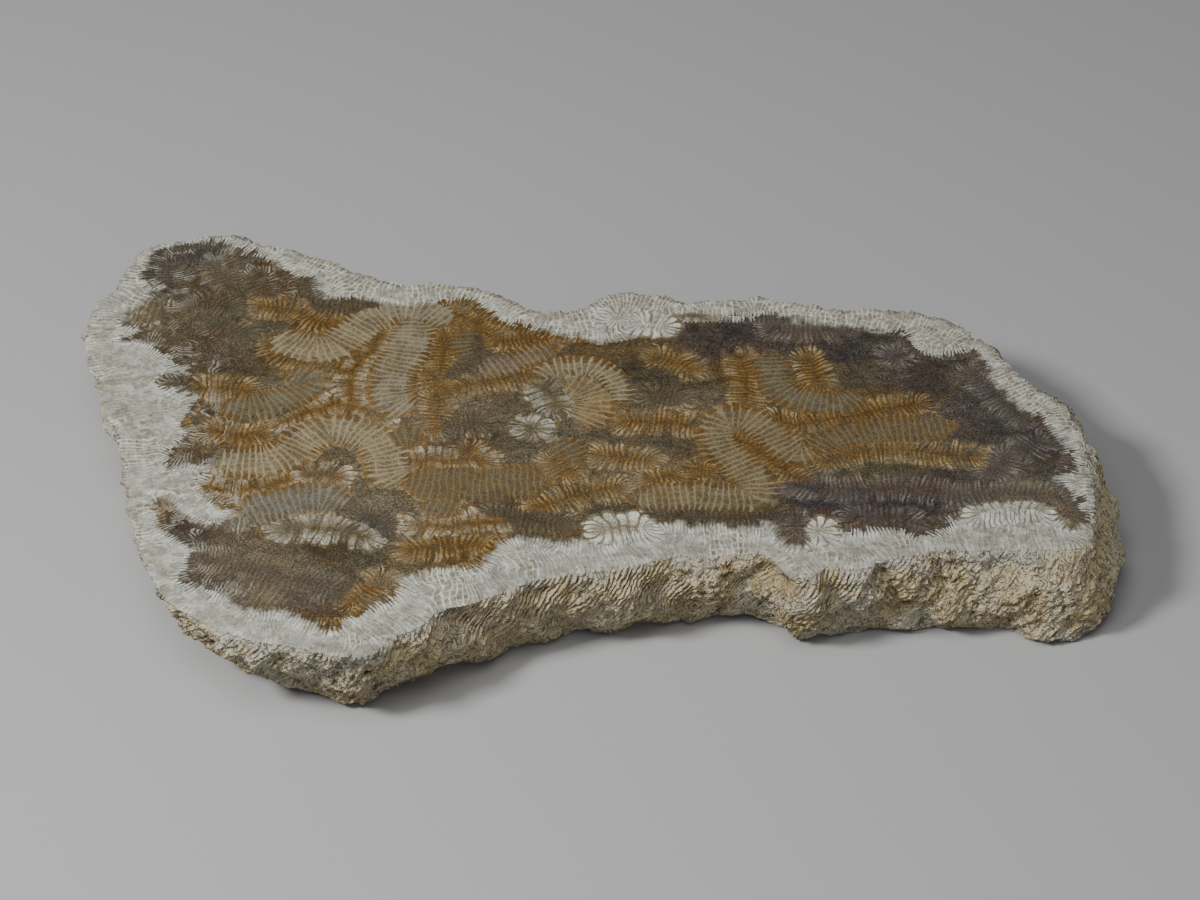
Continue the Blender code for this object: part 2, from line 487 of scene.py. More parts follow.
# %% Valleys
VALLEYS = {
    "orange": [
        [(-80, 46.5), (-75, 46), (-71.5, 45), (-68, 41.5), (-64.5, 39.5), (-61, 40)],
        [(-77, 32), (-74, 27), (-68, 24.5), (-62, 22.5), (-57, 21)], [(-92, 15), (-87, 15), (-82, 14.5)],
        [(-87, -1), (-82, -2.5), (-77, -2)], [(-52, -59), (-49, -56.5), (-46, -53)],
        [(-35.5, 34.5), (-35.2, 28), (-35.5, 22), (-37.5, 17), (-34, 14)],
        [(-36, 12), (-35.5, 5), (-36, 0)],
        [(-33, 44), (-29, 41), (-25.5, 36.5), (-22.5, 32.5), (-17, 33.5), (-10, 34.5)],
        [(-31, 15), (-25, 17.5), (-19, 19), (-14.5, 20)], [(3, -10), (8, -10.5), (13, -11.5)],
        [(8, 2.5), (14, 2.5), (20, 2), (25, 1)], [(36, 26), (37, 20), (37, 14), (36.5, 9)],
        [(33, -3), (37, -6), (41, -11), (45, -16), (49, -19)],
        [(54, -12), (60, -9), (66, -7.5), (73, -7.5), (80, -9.5), (88, -10)],
        [(-40, -42.5), (-34, -41), (-28, -40.5), (-24, -41.5)], [(-8, -12), (-5, -16)],
        [(43, 3), (49, 1), (56, 3.5), (63, 5), (70, 7.5), (77, 8.5)],
        [(-12, -28), (-6, -25.5), (0, -22.5), (6, -21.5)],
    ],
    "star": [
        [(25, -15), (26, -15)], [(16, 26.5), (20.5, 25), (24, 22)], [(52, 26), (53.5, 20.5), (54, 17)],
        [(-28, -9), (-28, -8)], [(14, -18), (19, -17)], [(-38, 20), (-37.5, 20)],
    ],
    "petal": [
        [(-50, 37), (-51.5, 32), (-54, 26.5), (-56.5, 21.5), (-57, 16), (-56, 10)],
        [(-72, 2.5), (-66, 6), (-60, 9), (-54, 7.5), (-49, 4)],
        [(-64.5, -16.5), (-62, -16), (-58, -17.5)],
        [(-90, -20), (-85, -22), (-79, -22), (-73, -20.5), (-69, -18)],
        [(-45, -12), (-38, -11.5), (-32, -11.5), (-25, -11.5)],
        [(-38, -34), (-31, -34.5), (-25, -33), (-18, -32.5)],
    ],
    "white": [
        [(-68, -35.5), (-63, -34.5), (-57, -35.5), (-50, -38)], [(-12, 16), (-9, 12), (-8, 8)],
        [(-14, 0), (-13, 0)],
    ],
    "rosette": [
        [(6, 41.5), (7, 41)], [(12, 40), (17, 38.5)], [(3, -35.5), (8, -34.5), (12, -35)],
        [(88, -30), (95, -28), (101, -29)], [(51, -36), (51.5, -36)],
    ],
    "dark": [
        [(-93, 65), (-91, 60), (-88, 55)], [(-66, 47), (-62, 46.5), (-57, 45.5)],
        [(-91, 39), (-87, 37.5), (-84, 35.5)], [(-111, 34), (-106, 35), (-101, 33)],
        [(-97, 48), (-92, 48.5), (-88, 46)], [(-104, 62), (-103, 56), (-101, 52)],
        [(-82, 58), (-79, 52)], [(-99, 17), (-96, 14)], [(-94, -9), (-88, -9)],
        [(-90, -45), (-80, -47), (-70, -50), (-62, -53), (-54, -57)],
        [(-26.5, 34), (-26, 28), (-29, 23), (-34, 21)], [(-31, 1), (-26, 2)], [(15, 12), (20, 11)],
        [(16, -31), (24, -31.5), (32, -32), (41, -31)], [(-22, -31), (-14, -32), (-6, -34)],
        [(-50, -31), (-46, -34)],
    ],
    "deep": [
        [(72.5, 27.5), (73.5, 27.5)], [(91, 20), (94, 15), (98, 8), (101, 4)],
        [(47, -20), (55, -22), (63, -22), (70, -21), (76, -22), (84, -24), (92, -23), (108, -24)],
        [(46, -33), (46.5, -38)], [(60, -31), (70, -32), (75, -36)], [(44, 38), (52, 37), (60, 37)],
        [(100, -8), (104, -5)], [(96, -10), (92, -16)],
    ],
}
print("valleys:", {kind: len(lines) for kind, lines in VALLEYS.items()})

# %% [markdown]
# ## Where the walls between them run
# Between two valleys the septa of both sides meet in a wall, which the saw has cut into a pale
# ribbon of small cells: the ladders. Each has a centre line, half a width and a tone.

# %% Ladders
LADDERS = [
    # half width in mm, tone, centre line
    (4.5, "cream", [(-76, 35), (-72, 31.5), (-66, 29), (-61, 31), (-57.5, 36), (-53, 41), (-47, 44)]),
    (4.2, "bone", [(-43, 42), (-43, 35), (-44.5, 27), (-47, 20), (-47.5, 14), (-46, 9), (-42, 6)]),
    (4.3, "cream", [(-86, -12), (-80, -12.5), (-74, -12), (-69, -9), (-66, -4), (-61, 0), (-55, -1),
        (-50, -4), (-47, -10), (-46, -17), (-43, -20)]),
    (3.0, "straw", [(-47, -5), (-42, -3), (-39, -4)]),
    (2.2, "straw", [(-31, 37), (-31, 31), (-29, 26)]),
    (2.8, "shell", [(-27, 20.5), (-21, 23), (-15, 27), (-9, 30)]),
    (2.0, "cream", [(-13, 19), (-10, 22.5), (-5, 23), (0, 23), (4, 20.5), (7, 15), (7.5, 9)]),
    (3.5, "honey", [(-6, 17), (-1, 15), (1.5, 10), (0.5, 5), (-2, 1)]),
    (3.0, "straw", [(-8, -5), (-5, -8), (-3, -12)]),
    (4.6, "brown", [(-42, -19), (-34, -20), (-26, -20), (-18, -19.5), (-10, -19)]),
    (3.5, "sand", [(10, -25), (17, -24.5), (24, -24), (31, -25), (38, -25), (38, -19), (34.5, -13),
        (30.5, -7), (29, -1), (31, 4), (36, 4), (41, -0.5), (44.5, -6), (48, -10), (52, -8.5)]),
    (3.3, "straw", [(52, -8.5), (56, -4), (62, -1.5), (70, 0), (78, 0), (84, 1)]),
    (3.0, "olive", [(43, 28), (43, 22), (44, 15), (48, 11), (54, 9), (60, 9), (64, 12)]),
    (4.0, "slate", [(-79, -30), (-73, -27.5), (-66, -25), (-60, -24.5), (-55, -27)]),
    (2.6, "slate", [(-82, -33), (-76, -33)]),
    (2.6, "straw", [(-78, -55), (-72, -57), (-66, -60)]),
    (2.6, "straw", [(-38, -27), (-30, -30)]),
    (4.0, "bone", [(-52, 44), (-46, 46), (-40, 45), (-34, 40)]),
    (3.5, "olive", [(-86, 8), (-80, 7), (-74, 9), (-68, 14), (-66, 18), (-72, 20)]),
    (4.5, "straw", [(-113, 45), (-104, 44)]),
]
print("ladders:", len(LADDERS))

# %% [markdown]
# ## Stains
# Silica is clear. Iron and clay trapped in it colour each part differently: plum and slate where it
# is deep and glassy, ochre and russet where rust has crept in along the septa. The stains are soft
# spots, each with a place and a half width each way. The wide straw spots lighten the ground, and in
# the lower left lobe they paint the faint sheen of the polish.

# %% Stains
STAINS = {
    # tone: across, back, half width across and half width back, in mm
    "plum": [
        (-104, 62, 6, 7), (-93, 30, 5, 5), (-90, -36, 5, 3), (-82, -50, 6, 3), (52, 30, 6, 4),
        (40, 38, 5, 4), (33, 34, 8, 6), (73, 27, 6, 5), (80, 18, 6, 6), (65, 36, 8, 4), (85, 22, 6, 5),
        (56, 34, 6, 4), (88, -2, 5, 4), (78, -17, 6, 2), (104, -4, 4, 6), (48, -20, 4, 3),
        (-30, -7, 4, 2),
    ],
    "mauve": [
        (-85, -45, 5, 4), (-75, -53, 6, 4), (-68, -56, 6, 4), (-80, -40, 4, 3), (-64, -48, 5, 3),
        (85, 6, 5, 4), (100, 18, 4, 5), (72, 22, 4, 3), (-90, 31, 4, 4),
    ],
    "ink": [
        (55, -27, 7, 4), (68, -28, 8, 4), (80, -27, 7, 3), (48, -21, 4, 3), (-48, -33, 4, 3),
        (42, -33, 6, 2), (38, 38, 6, 3), (60, 30, 5, 3),
    ],
    "slate": [
        (-95, 68, 6, 4), (-64, -27, 8, 3), (-48, -33, 5, 4), (-55, -55, 6, 5), (96, 2, 7, 6),
        (98, 12, 4, 5), (95, -16, 8, 4), (66, 33, 6, 4), (-60, -17, 5, 3), (90, 10, 6, 6),
        (102, -2, 5, 6), (88, -8, 6, 4), (105, -15, 4, 4),
    ],
    "olive": [
        (-93, 43, 6, 5), (-84, 40, 5, 5), (-80, 38, 5, 6), (-84, 27, 5, 5), (-80, 6, 6, 4),
        (-20, -5, 5, 5), (-13, 3, 5, 5), (10, -4, 8, 3), (27, 20, 4, 4), (-44, -42, 5, 4),
        (44, 18, 3, 8), (62, 20, 5, 5), (58, -15, 8, 3), (75, -14, 8, 3), (90, -8, 6, 5),
        (-15, 12, 5, 4), (0, -27, 9, 3),
    ],
    "moss": [
        (18, 12, 6, 5), (10, 22, 6, 5), (-60, -42, 8, 4),
    ],
    "umber": [
        (-70, 46, 6, 4), (-47, 46, 6, 3), (-84, -18, 6, 3), (-58, -41, 7, 4), (-92, 34, 6, 4),
        (-98, 52, 4, 4), (-88, 50, 6, 4), (-108, 34, 4, 2.5), (-84, -19, 5, 3), (-86, -25, 4, 3),
        (-88, -50, 4, 3), (-26, 29, 3, 6), (-28, 2, 5, 4), (3, -17, 5, 3), (-18, -32, 8, 3),
        (25, -31, 10, 2), (38, -31, 6, 3), (-86, 22, 4, 3), (-92, 18, 6, 4),
    ],
    "amber": [
        (-106, 39, 5, 4), (-82, 14, 4, 4), (-6, -37, 5, 3), (-10, -20, 6, 4), (-25, -19, 9, 5),
        (-40, -21, 4, 4), (0, 10, 5, 6), (3, 30, 8, 4), (22, 26, 6, 4), (-51, 31, 3, 7), (60, -8, 8, 3),
        (15, -27, 8, 2),
    ],
    "orange": [
        (-97, 32, 5, 4), (-67, 40, 6, 4), (-74, 26, 5, 3), (-58, 27, 4, 5), (-56, 14, 4, 5),
        (-60, 6, 6, 4), (-82, -3, 6, 5), (-76, -19, 6, 3), (-63, -11, 5, 4), (-36, 30, 4, 7),
        (-38, 14, 5, 3), (-22, 38, 5, 4), (-23, 16, 8, 3), (-27, -9, 3, 2), (12, 3, 8, 3),
        (5, -11, 6, 3), (25, -14, 6, 4), (-5, -14, 5, 4), (-30, -42, 8, 3), (-48, -56, 3, 3),
        (36, 18, 4, 8), (53, 19, 5, 5), (55, 4, 8, 2), (72, 10, 8, 3), (47, 2, 3, 3), (37, -5, 5, 3),
        (104, 3, 3, 3),
    ],
    "russet": [
        (-79, 57, 6, 7), (-14, 34, 6, 2), (-94, -10, 5, 3), (-58, -63, 6, 3), (44, -13, 4, 3),
        (55, -33, 7, 3), (68, -34, 6, 2), (73, -20, 4, 2), (67, -22, 2.5, 1.5),
    ],
    "tan": [
        (-106, 43, 6, 6), (-90, 60, 5, 5), (-70, 16, 6, 4), (-72, -62, 6, 2), (-20, -46, 4, 2),
        (-78, -33, 7, 3), (70, -3, 8, 3), (107, -31, 3, 2), (-97, 15, 3, 3), (103, -25, 5, 3),
        (55, 38, 8, 4), (88, 18, 5, 5), (-20, 25, 5, 3), (30, 5, 4, 4), (-66, 30, 6, 4), (85, -30, 5, 2),
        (90, -22, 8, 2),
    ],
    # straw: wide pale spots; in the lower left lobe they are the painted sheen of the polish
    "straw": [
        (-58, -20, 9, 7), (-45, -27, 9, 6), (-68, -47, 12, 5), (-62, -33, 8, 4), (-28, 8, 10, 8),
        (-2, 8, 9, 7), (-12, -13, 14, 5), (-90, 27, 6, 4), (8, -14, 12, 5), (-36, -33, 7, 4),
        (-50, -56, 8, 4), (-48, 6, 6, 5), (24, 10, 8, 4), (-78, -44, 6, 5), (100, -20, 6, 5),
        (-60, -9, 4, 4), (-48, -23, 5, 4), (-36, -31, 5, 3), (-71, -47, 7, 4), (-47, -24, 7, 5),
    ],
}
print("stains:", sum(len(spots) for spots in STAINS.values()))

# %% [markdown]
# ## The rind
# Weathering has turned the outermost stone to white chalk. The border between that rind and the
# glassy heart is as ragged as a coast, because the chalk reaches further in along some septa.

# %% Border between rind and heart
HEART_EDGE = [
    (-107.5, 69), (-97.5, 73), (-89.5, 72), (-83.5, 68), (-76.5, 66), (-73.5, 60), (-69.5, 58),
    (-67.5, 52), (-63.5, 49), (-57.5, 49), (-49.5, 48), (-42.5, 47), (-35.5, 50), (-30.5, 49),
    (-26.5, 46), (-22.5, 41), (-17.5, 39), (-12.5, 37), (-7.5, 35.5), (-2.5, 35), (2.5, 34), (7.5, 35.5),
    (12.5, 37.5), (17.5, 37), (16.5, 43), (20.5, 43), (30.5, 43), (35.5, 42.5), (43.5, 42.5), (47.5, 42),
    (54.5, 41.5), (62.5, 40), (68.5, 39), (74.5, 37), (77, 35), (77, 30), (78.5, 28.5), (86.5, 28),
    (92.5, 30), (94, 29), (93.5, 25), (96.5, 19), (99.5, 13), (103.5, 7), (106.5, 2), (108.5, -3),
    (110.5, -8), (111.5, -10.5), (109.5, -14), (107.5, -20), (109.5, -23), (111.5, -28), (111.5, -32),
    (107.5, -35), (105.5, -32), (102.5, -28.5), (95.5, -27.5), (88.5, -28), (87.5, -32), (82.5, -32.5),
    (78, -34), (75.5, -39), (72.5, -36), (68.5, -34.5), (62.5, -37), (57.5, -36.5), (52.5, -36),
    (49.5, -38), (47.5, -40), (45.5, -40), (43.5, -37), (40.5, -35), (32.5, -35.5), (24.5, -34.5),
    (16.5, -34), (12.5, -37), (7.5, -39), (2.5, -41), (-7.5, -41.5), (-10.5, -39), (-14.5, -38),
    (-19.5, -39.5), (-22.5, -45), (-25.5, -49), (-29.5, -50), (-35.5, -51), (-39.5, -53), (-42.5, -58),
    (-47.5, -61), (-51.5, -66), (-55.5, -68), (-62.5, -65.5), (-67.5, -63), (-72.5, -64), (-76.5, -62),
    (-78.5, -58), (-83.5, -57.5), (-87.5, -54), (-90.5, -50), (-89.5, -43), (-93.5, -38), (-96.5, -36),
    (-98.5, -31), (-100.5, -27), (-96.5, -25), (-92.5, -28), (-88.5, -31), (-84.5, -34), (-81.5, -31),
    (-82.5, -27), (-87.5, -24), (-90.5, -20), (-87.5, -15), (-94.5, -14), (-99.5, -11), (-96.5, -7),
    (-93.5, -4), (-94.5, 0), (-96.5, 4), (-93.5, 7.5), (-95.5, 11), (-98.5, 14), (-101.5, 18),
    (-96.5, 20), (-99.5, 25), (-101.5, 28), (-106.5, 30), (-111.5, 32), (-109.5, 35.5), (-107.5, 37),
    (-113.5, 40), (-111.5, 45), (-107.5, 51), (-104.5, 53), (-108.5, 55.5), (-109.5, 60),
]
print("points along the border of the heart:", len(HEART_EDGE))

# %% [markdown]
# ## Colours of the stone
# A stain tints the ground, and every kind of valley and ladder has a fill for its cells and an
# outline for its septa.


# %% Colours
def shade(code):
    """A screen colour such as b07a3c as a linear one."""
    parts = [int(code[k : k + 2], 16) / 255 for k in (0, 2, 4)]
    linear = [p / 12.92 if p <= 0.04045 else ((p + 0.055) / 1.055) ** 2.4 for p in parts]
    return (*linear, 1.0)


GROUND = {
    "plum": "574c4a", "mauve": "7a6d63", "ink": "424047", "slate": "5a5957", "olive": "6c6550",
    "moss": "514c3a", "umber": "5d4e38", "amber": "7c6844", "orange": "71582f", "russet": "695235",
    "tan": "81765e", "straw": "8b7f66",
}
GROUND = {tone: shade(code) for tone, code in GROUND.items()}
COMMON_GROUND = shade("786c54")
VALLEY_LOOKS = {
    # kind: pale fill between septa, the septa, the bed they lie in, how strongly the fill shows
    "orange": ("c4b48c", "a27e40", "5c441f", 0.32),
    "star": ("c8b88e", "b0883f", "5e4620", 0.16),
    "petal": ("ccc6ac", "866432", "66502c", 0.95),
    "white": ("cbcabb", "80704a", "5a5442", 0.95),
    "rosette": ("d6d5c8", "837862", "948c76", 1.00),
    "dark": ("857b64", "675e48", "4b4438", 0.15),
    "deep": ("a0988c", "6c6256", "4a4340", 0.28),
}
LADDER_LOOKS = {
    # tone: fill of the cells, colour of the walls between them, how strongly both show
    "cream": ("8a7c5e", "aaa083", 0.90),
    "bone": ("877e67", "a29a83", 0.85),
    "sand": ("7c6e50", "9c9070", 0.78),
    "straw": ("70644a", "85785c", 0.50),
    "shell": ("887a62", "a08f78", 0.50),
    "honey": ("8d7a56", "a8956e", 0.80),
    "brown": ("6f6149", "817659", 0.55),
    "slate": ("747265", "8a8778", 0.65),
    "olive": ("726d56", "868169", 0.60),
}


def shaded(looks):
    """The same table with its codes turned into colours."""
    return {kind: (*map(shade, codes), force) for kind, (*codes, force) in looks.items()}


VALLEY_LOOKS, LADDER_LOOKS = shaded(VALLEY_LOOKS), shaded(LADDER_LOOKS)
print("tones:", len(GROUND), "looks:", len(VALLEY_LOOKS) + len(LADDER_LOOKS))

# %% [markdown]
# ## Septa from the valleys
# Each small triangle of the face belongs to the nearest line: a ladder if it lies within its
# ribbon, the slab's own edge if it lies in the rind, and otherwise a valley. Measured from that
# line, a place has two numbers: how far along it is, counted in septa, and how far off it is, in
# millimetres. Round the end of a line the count goes on as a fan. Kept as a UV map named "septa",
# they let one small pattern draw every ladder, feather and star.

# %% Lines and the septa along them
PITCH = 1.55  # from one septum to the next across a wall, in mm
VALLEY_PITCH = 1.15  # and down a valley, where the thin ones between show too
EDGE_PITCH = 1.25  # and round the edge, the same as the flutes of the skin
FAN = 19  # septa in a full circle round a line's end
LEAN = 0.26  # septa of a valley lean towards its ends by this many counts for each mm aside
STEP = 0.25  # between samples of a line, in mm
TAPER = 4.0  # a ladder narrows to nothing over this length at either end, in mm
WINDOW = 28  # samples each way in which a triangle's corners look for their foot


def soft_line(points, closed=False):
    """A smooth line through the given points, as samples a fixed step apart."""
    line = np.array(points, float)
    if closed:
        line = np.vstack([line, line[:1]])
    count = max(int(lengths_along(line)[-1] / STEP), 2) + 1
    line = spread(line, count)
    if len(line) > 12:
        ends = line[[0, -1]].copy()
        line = bell(line[:-1] if closed else line, 5, closed=closed)
        if not closed:
            line[[0, -1]] = ends
    return line


def tangents(line, closed):
    around = np.roll(line, -1, axis=0) - np.roll(line, 1, axis=0)
    tangent = around if closed else np.gradient(line, axis=0)
    return tangent / np.linalg.norm(tangent, axis=1)[:, None]


class Line:
    """A valley, a ladder or the slab's edge, with the look of its septa."""

    def __init__(self, look, points, half=0.0, closed=False):
        self.look = look
        self.half = half
        self.closed = closed
        self.at = points if closed else soft_line(points)
        self.tangent = tangents(self.at, closed)
        self.pitch = EDGE_PITCH if closed else PITCH if half else VALLEY_PITCH
        along = lengths_along(self.at)
        self.count = along / self.pitch
        to_end = np.minimum(along, lengths_along(self.at[::-1])[::-1])
        self.width = np.ones(len(self.at)) if closed else np.clip(to_end / TAPER, 0, 1) ** 0.6

    def measure(self, corners, feet):
        """Septa count and signed distance of triangles' corners, given the sample nearest each."""
        last = len(self.at) - 1
        near = feet[:, None] + np.arange(-WINDOW, WINDOW + 1)[None, :]
        near = near % (last + 1) if self.closed else np.clip(near, 0, last)
        gaps = corners[:, :, None, :] - self.at[near][:, None, :, :]
        best = np.argmin((gaps**2).sum(axis=3), axis=2)
        foot = np.take_along_axis(near, best, axis=1)
        offset = corners - self.at[foot]
        tangent = self.tangent[foot]
        ahead = (offset * tangent).sum(axis=2)
        aside = tangent[..., 0] * offset[..., 1] - tangent[..., 1] * offset[..., 0]
        count = self.count[foot] + ahead / self.pitch
        if self.closed:
            return count, aside
        middle = corners.mean(axis=1) - self.at[feet]
        turned = self.tangent[feet, 0] * middle[:, 1] - self.tangent[feet, 1] * middle[:, 0]
        side = np.where(turned < 0, -1.0, 1.0)[:, None]
        for end, sense in ((0, -1.0), (last, 1.0)):
            past = (foot == end) & (ahead * sense > 0)
            turn = np.arctan2(ahead * sense, aside * side)
            round_end = self.count[end] + sense * turn / (2 * math.pi) * FAN
            count = np.where(past, round_end, count)
            aside = np.where(past, np.hypot(ahead, aside) * side, aside)
        if not self.half:
            middle = self.count[-1] / 2
            share = np.clip((count - middle) / max(middle, 5.0), -1, 1)
            count = count - LEAN * np.abs(aside) * share
        return count, aside


print("septa every", PITCH, "mm across a wall and", VALLEY_PITCH, "mm down a valley")

# %% [markdown]
# A search tree over the samples of all the lines finds the nearest one to any place. Another over
# the border of the heart tells how deep in the heart or the rind a place lies.


# %% Find the nearest line
def nearest_of(lines, points):
    """For each point: which of the lines is nearest, its nearest sample, and how far it is."""
    tree = tree_of(np.vstack([line.at for line in lines]))
    names = np.array([(n, k) for n, line in enumerate(lines) for k in range(len(line.at))])
    found = [tree.find((x, y, 0.0))[1:] for x, y in points]
    owner, sample = names[[index for index, _ in found]].T
    return owner, sample, np.array([gap for _, gap in found])


heart_line = soft_line(HEART_EDGE, closed=True)
heart_tree = tree_of(heart_line)


def heart_depth(points):
    """How far inside the glassy heart each point is, in mm, and less than zero in the rind."""
    gap = np.array([heart_tree.find((x, y, 0.0))[2] for x, y in points])
    return np.where(is_inside(points, heart_line), gap, -gap)


valleys = [Line(look, points) for look, lines in VALLEYS.items() for points in lines]
ladders = [Line(look, points, half) for half, look, points in LADDERS]
shore_line = Line("rind", bell(heart_line, 6), closed=True)
edge_line = Line("rind", bell(edge_ring, 4), closed=True)
every_line = [*valleys, *ladders, shore_line, edge_line]
SHORE, EDGE = len(every_line) - 2, len(every_line) - 1
print(f"lines: {len(every_line)}, samples: {sum(len(line.at) for line in every_line)}")

# %% [markdown]
# The triangles are shared out. A ladder also owns the fringe of septa that runs from its border
# towards the next valley, so that these are the same septa as its rungs. Along the border of the
# rind the septa stand square to it and give the chalk its comb.

# %% Share out the triangles
FRINGE = 2.0  # how far beyond its border a ladder may own, in mm
FRINGE_SHARE = 0.60  # and how near its border must be, against the nearest valley
SHORE_REACH = 2.6
ROSETTE_REACH = 5.4


def share_out(points, triangles):
    """Each triangle's owner, the half width there, and its corners' septa counts and distances."""
    corners = points[triangles]
    middles = corners.mean(axis=1)
    valley, valley_foot, valley_gap = nearest_of(valleys, middles)
    owner, foot = valley.copy(), valley_foot.copy()
    margin = np.full(len(middles), -FRINGE)
    for index, line in enumerate(ladders):
        _, near, gap = nearest_of([line], middles)
        inside = line.half * line.width[near] - gap
        better = (inside > margin) & (-inside < valley_gap * FRINGE_SHARE)
        owner[better] = len(valleys) + index
        foot[better] = near[better]
        margin[better] = inside[better]
    rosette = np.array([line.look == "rosette" for line in valleys])[valley]
    free = (margin < 0) & ~(rosette & (valley_gap < ROSETTE_REACH))
    depth = heart_depth(middles)
    for index, mine in ((SHORE, free & (depth < SHORE_REACH)), (EDGE, free & (depth < -SHORE_REACH))):
        near = nearest_of([every_line[index]], middles)[1]
        owner[mine] = index
        foot[mine] = near[mine]
    septa = np.zeros((len(triangles), 3, 2))
    half = np.zeros(len(triangles))
    for index in np.unique(owner):
        mine = owner == index
        line = every_line[index]
        count, aside = line.measure(corners[mine], foot[mine])
        septa[mine] = np.stack([count, aside], axis=2)
        half[mine] = line.half * line.width[foot[mine]]
    return owner, half, septa


face_points = np.vstack([net[0, :, :2], face_grid])
base_points = np.vstack([net[-1, :, :2], base_grid])
face_owner, face_half, face_septa = share_out(face_points, face_triangles)
base_owner, base_half, base_septa = share_out(base_points, base_triangles)
shares = [(face_owner < len(valleys)).mean(), (face_owner >= SHORE).mean()]
print(f"valleys own {shares[0]:.0%} of the face, the rind and its border {shares[1]:.0%}")

# %% [markdown]
# The stains are blended at every point, after it has been pushed about by two sizes of noise, so
# that no spot keeps a round border.

# %% Blend the stains
WARP = ((9.0, 2.6), (2.4, 0.8))  # size of the noise and how far it pushes, in mm
COMMON_WEIGHT = 0.10
SPOT_FADE = 0.9  # how quickly a spot fades past its half width
HEART_WARP = 0.55
WARP_SEED = 4  # fixed, since the noise would otherwise start from the time of day
LAYERS = {"stains": 3.7, "heart": 8.1, "looks": 5.3}  # each reads its own layer of the noise


def pushed(points, layer, share=1.0):
    """The points, pushed about by this share of the noise's full reach."""
    moved = points.copy()
    for size, push in WARP:
        for k, (x, y) in enumerate(points):
            swirl = noise.noise_vector((x / size, y / size, LAYERS[layer]))
            moved[k] += (swirl.x * push * share * 2, swirl.y * push * share * 2)
    return moved


def stained(points):
    """The ground's colour at each point."""
    moved = pushed(points, "stains")
    total = np.full(len(points), COMMON_WEIGHT)
    blend = total[:, None] * np.array(COMMON_GROUND[:3])
    for tone, spots in STAINS.items():
        for x, y, rx, ry in spots:
            reach = ((moved[:, 0] - x) / rx) ** 2 + ((moved[:, 1] - y) / ry) ** 2
            weight = np.exp(-SPOT_FADE * reach)
            total += weight
            blend += weight[:, None] * np.array(GROUND[tone][:3])
    return np.column_stack([blend / total[:, None], np.ones(len(points))])


noise.seed_set(WARP_SEED)
face_ground, base_ground = stained(face_points), stained(base_points)
face_heart = heart_depth(pushed(face_points, "heart", HEART_WARP))
base_heart = heart_depth(pushed(base_points, "heart", HEART_WARP))
face_look = nearest_of(valleys, pushed(face_points, "looks", HEART_WARP))[0]
base_look = nearest_of(valleys, base_points)[0]
print(f"rind covers {(face_heart < 0).mean():.0%} of the face's points")

# %% [markdown]
# ## One closed piece
# Face, skin and base are joined into a single closed mesh. Points carry the stains and what the
# weathering needs, triangles carry the look of their septa, and corners carry the septa map.

# %% Join face, skin and base
FACES = len(face_triangles)
QUADS = ROWS * COLUMNS
NET = (ROWS + 1) * COLUMNS


def skin_quads():
    """Corner indices of the skin's quads, and each quad's column and row."""
    row, column = np.divmod(np.arange(QUADS), COLUMNS)
    beside = (column + 1) % COLUMNS
    top, below = row * COLUMNS, (row + 1) * COLUMNS
    quads = np.column_stack([top + column, top + beside, below + beside, below + column])
    return quads, column, row


def join_all():
    """The mesh of the whole slab, its faces in the order face, skin, base."""
    places = np.vstack([
        net.reshape(-1, 3),
        np.column_stack([face_grid, np.full(len(face_grid), THICKNESS)]),
        np.column_stack([base_grid, np.zeros(len(base_grid))]),
    ])
    to_top, to_base = NET - COLUMNS, NET + len(face_grid) - COLUMNS
    top = face_triangles + np.where(face_triangles < COLUMNS, 0, to_top)
    under = base_triangles + np.where(base_triangles < COLUMNS, QUADS, to_base)
    faces = [*top.tolist(), *skin_quads()[0].tolist(), *under[:, ::-1].tolist()]
    mesh = bpy.data.meshes.new("coral_slab_surface")
    mesh.from_pydata((places * MM).tolist(), [], faces)
    return mesh


slab_mesh = join_all()
problem = slab_mesh.validate(verbose=True)
print(f"slab: {len(slab_mesh.vertices)} points, {len(slab_mesh.polygons)} faces, faults: {problem}")

# %% [markdown]
# The weathering and the finish read all they need from the mesh. So every point keeps its depth,
# its stain and the look of the nearest valley, and every face the look of the line that owns it.

# %% Keep what the finish will need
FLUTES = int(EDGE_LENGTH / EDGE_PITCH)
STRAND_STRETCH = 0.24  # strands are about four times as long as they are wide
DEEP_IN_RIND = -9.0  # the heart's depth on the skin, in mm
WHIM_STEP = 3.7  # each line's own key for random numbers is its index times this
NO_LADDER = (COMMON_GROUND, COMMON_GROUND, 0.0)
KINDS = {1: ("FLOAT", "value"), 3: ("FLOAT_VECTOR", "vector"), 4: ("FLOAT_COLOR", "color")}


def add_attribute(mesh, name, domain, values):
    """Keeps numbers, vectors or colours under a name, by how many parts each value has."""
    kind, field = KINDS[values.size // len(values)]
    made = mesh.attributes.new(name, kind, domain)
    made.data.foreach_set(field, np.ascontiguousarray(values, np.float32).ravel())


def on_all_points(on_skin, on_face, on_base):
    """One value for all the skin's points but its first and last rings, which the faces share."""
    net_values = np.tile(on_skin, (NET, 1) if np.ndim(on_skin) else NET)
    net_values[:COLUMNS] = on_face[:COLUMNS]
    net_values[-COLUMNS:] = on_base[:COLUMNS]
    return np.concatenate([net_values, on_face[COLUMNS:], on_base[COLUMNS:]])


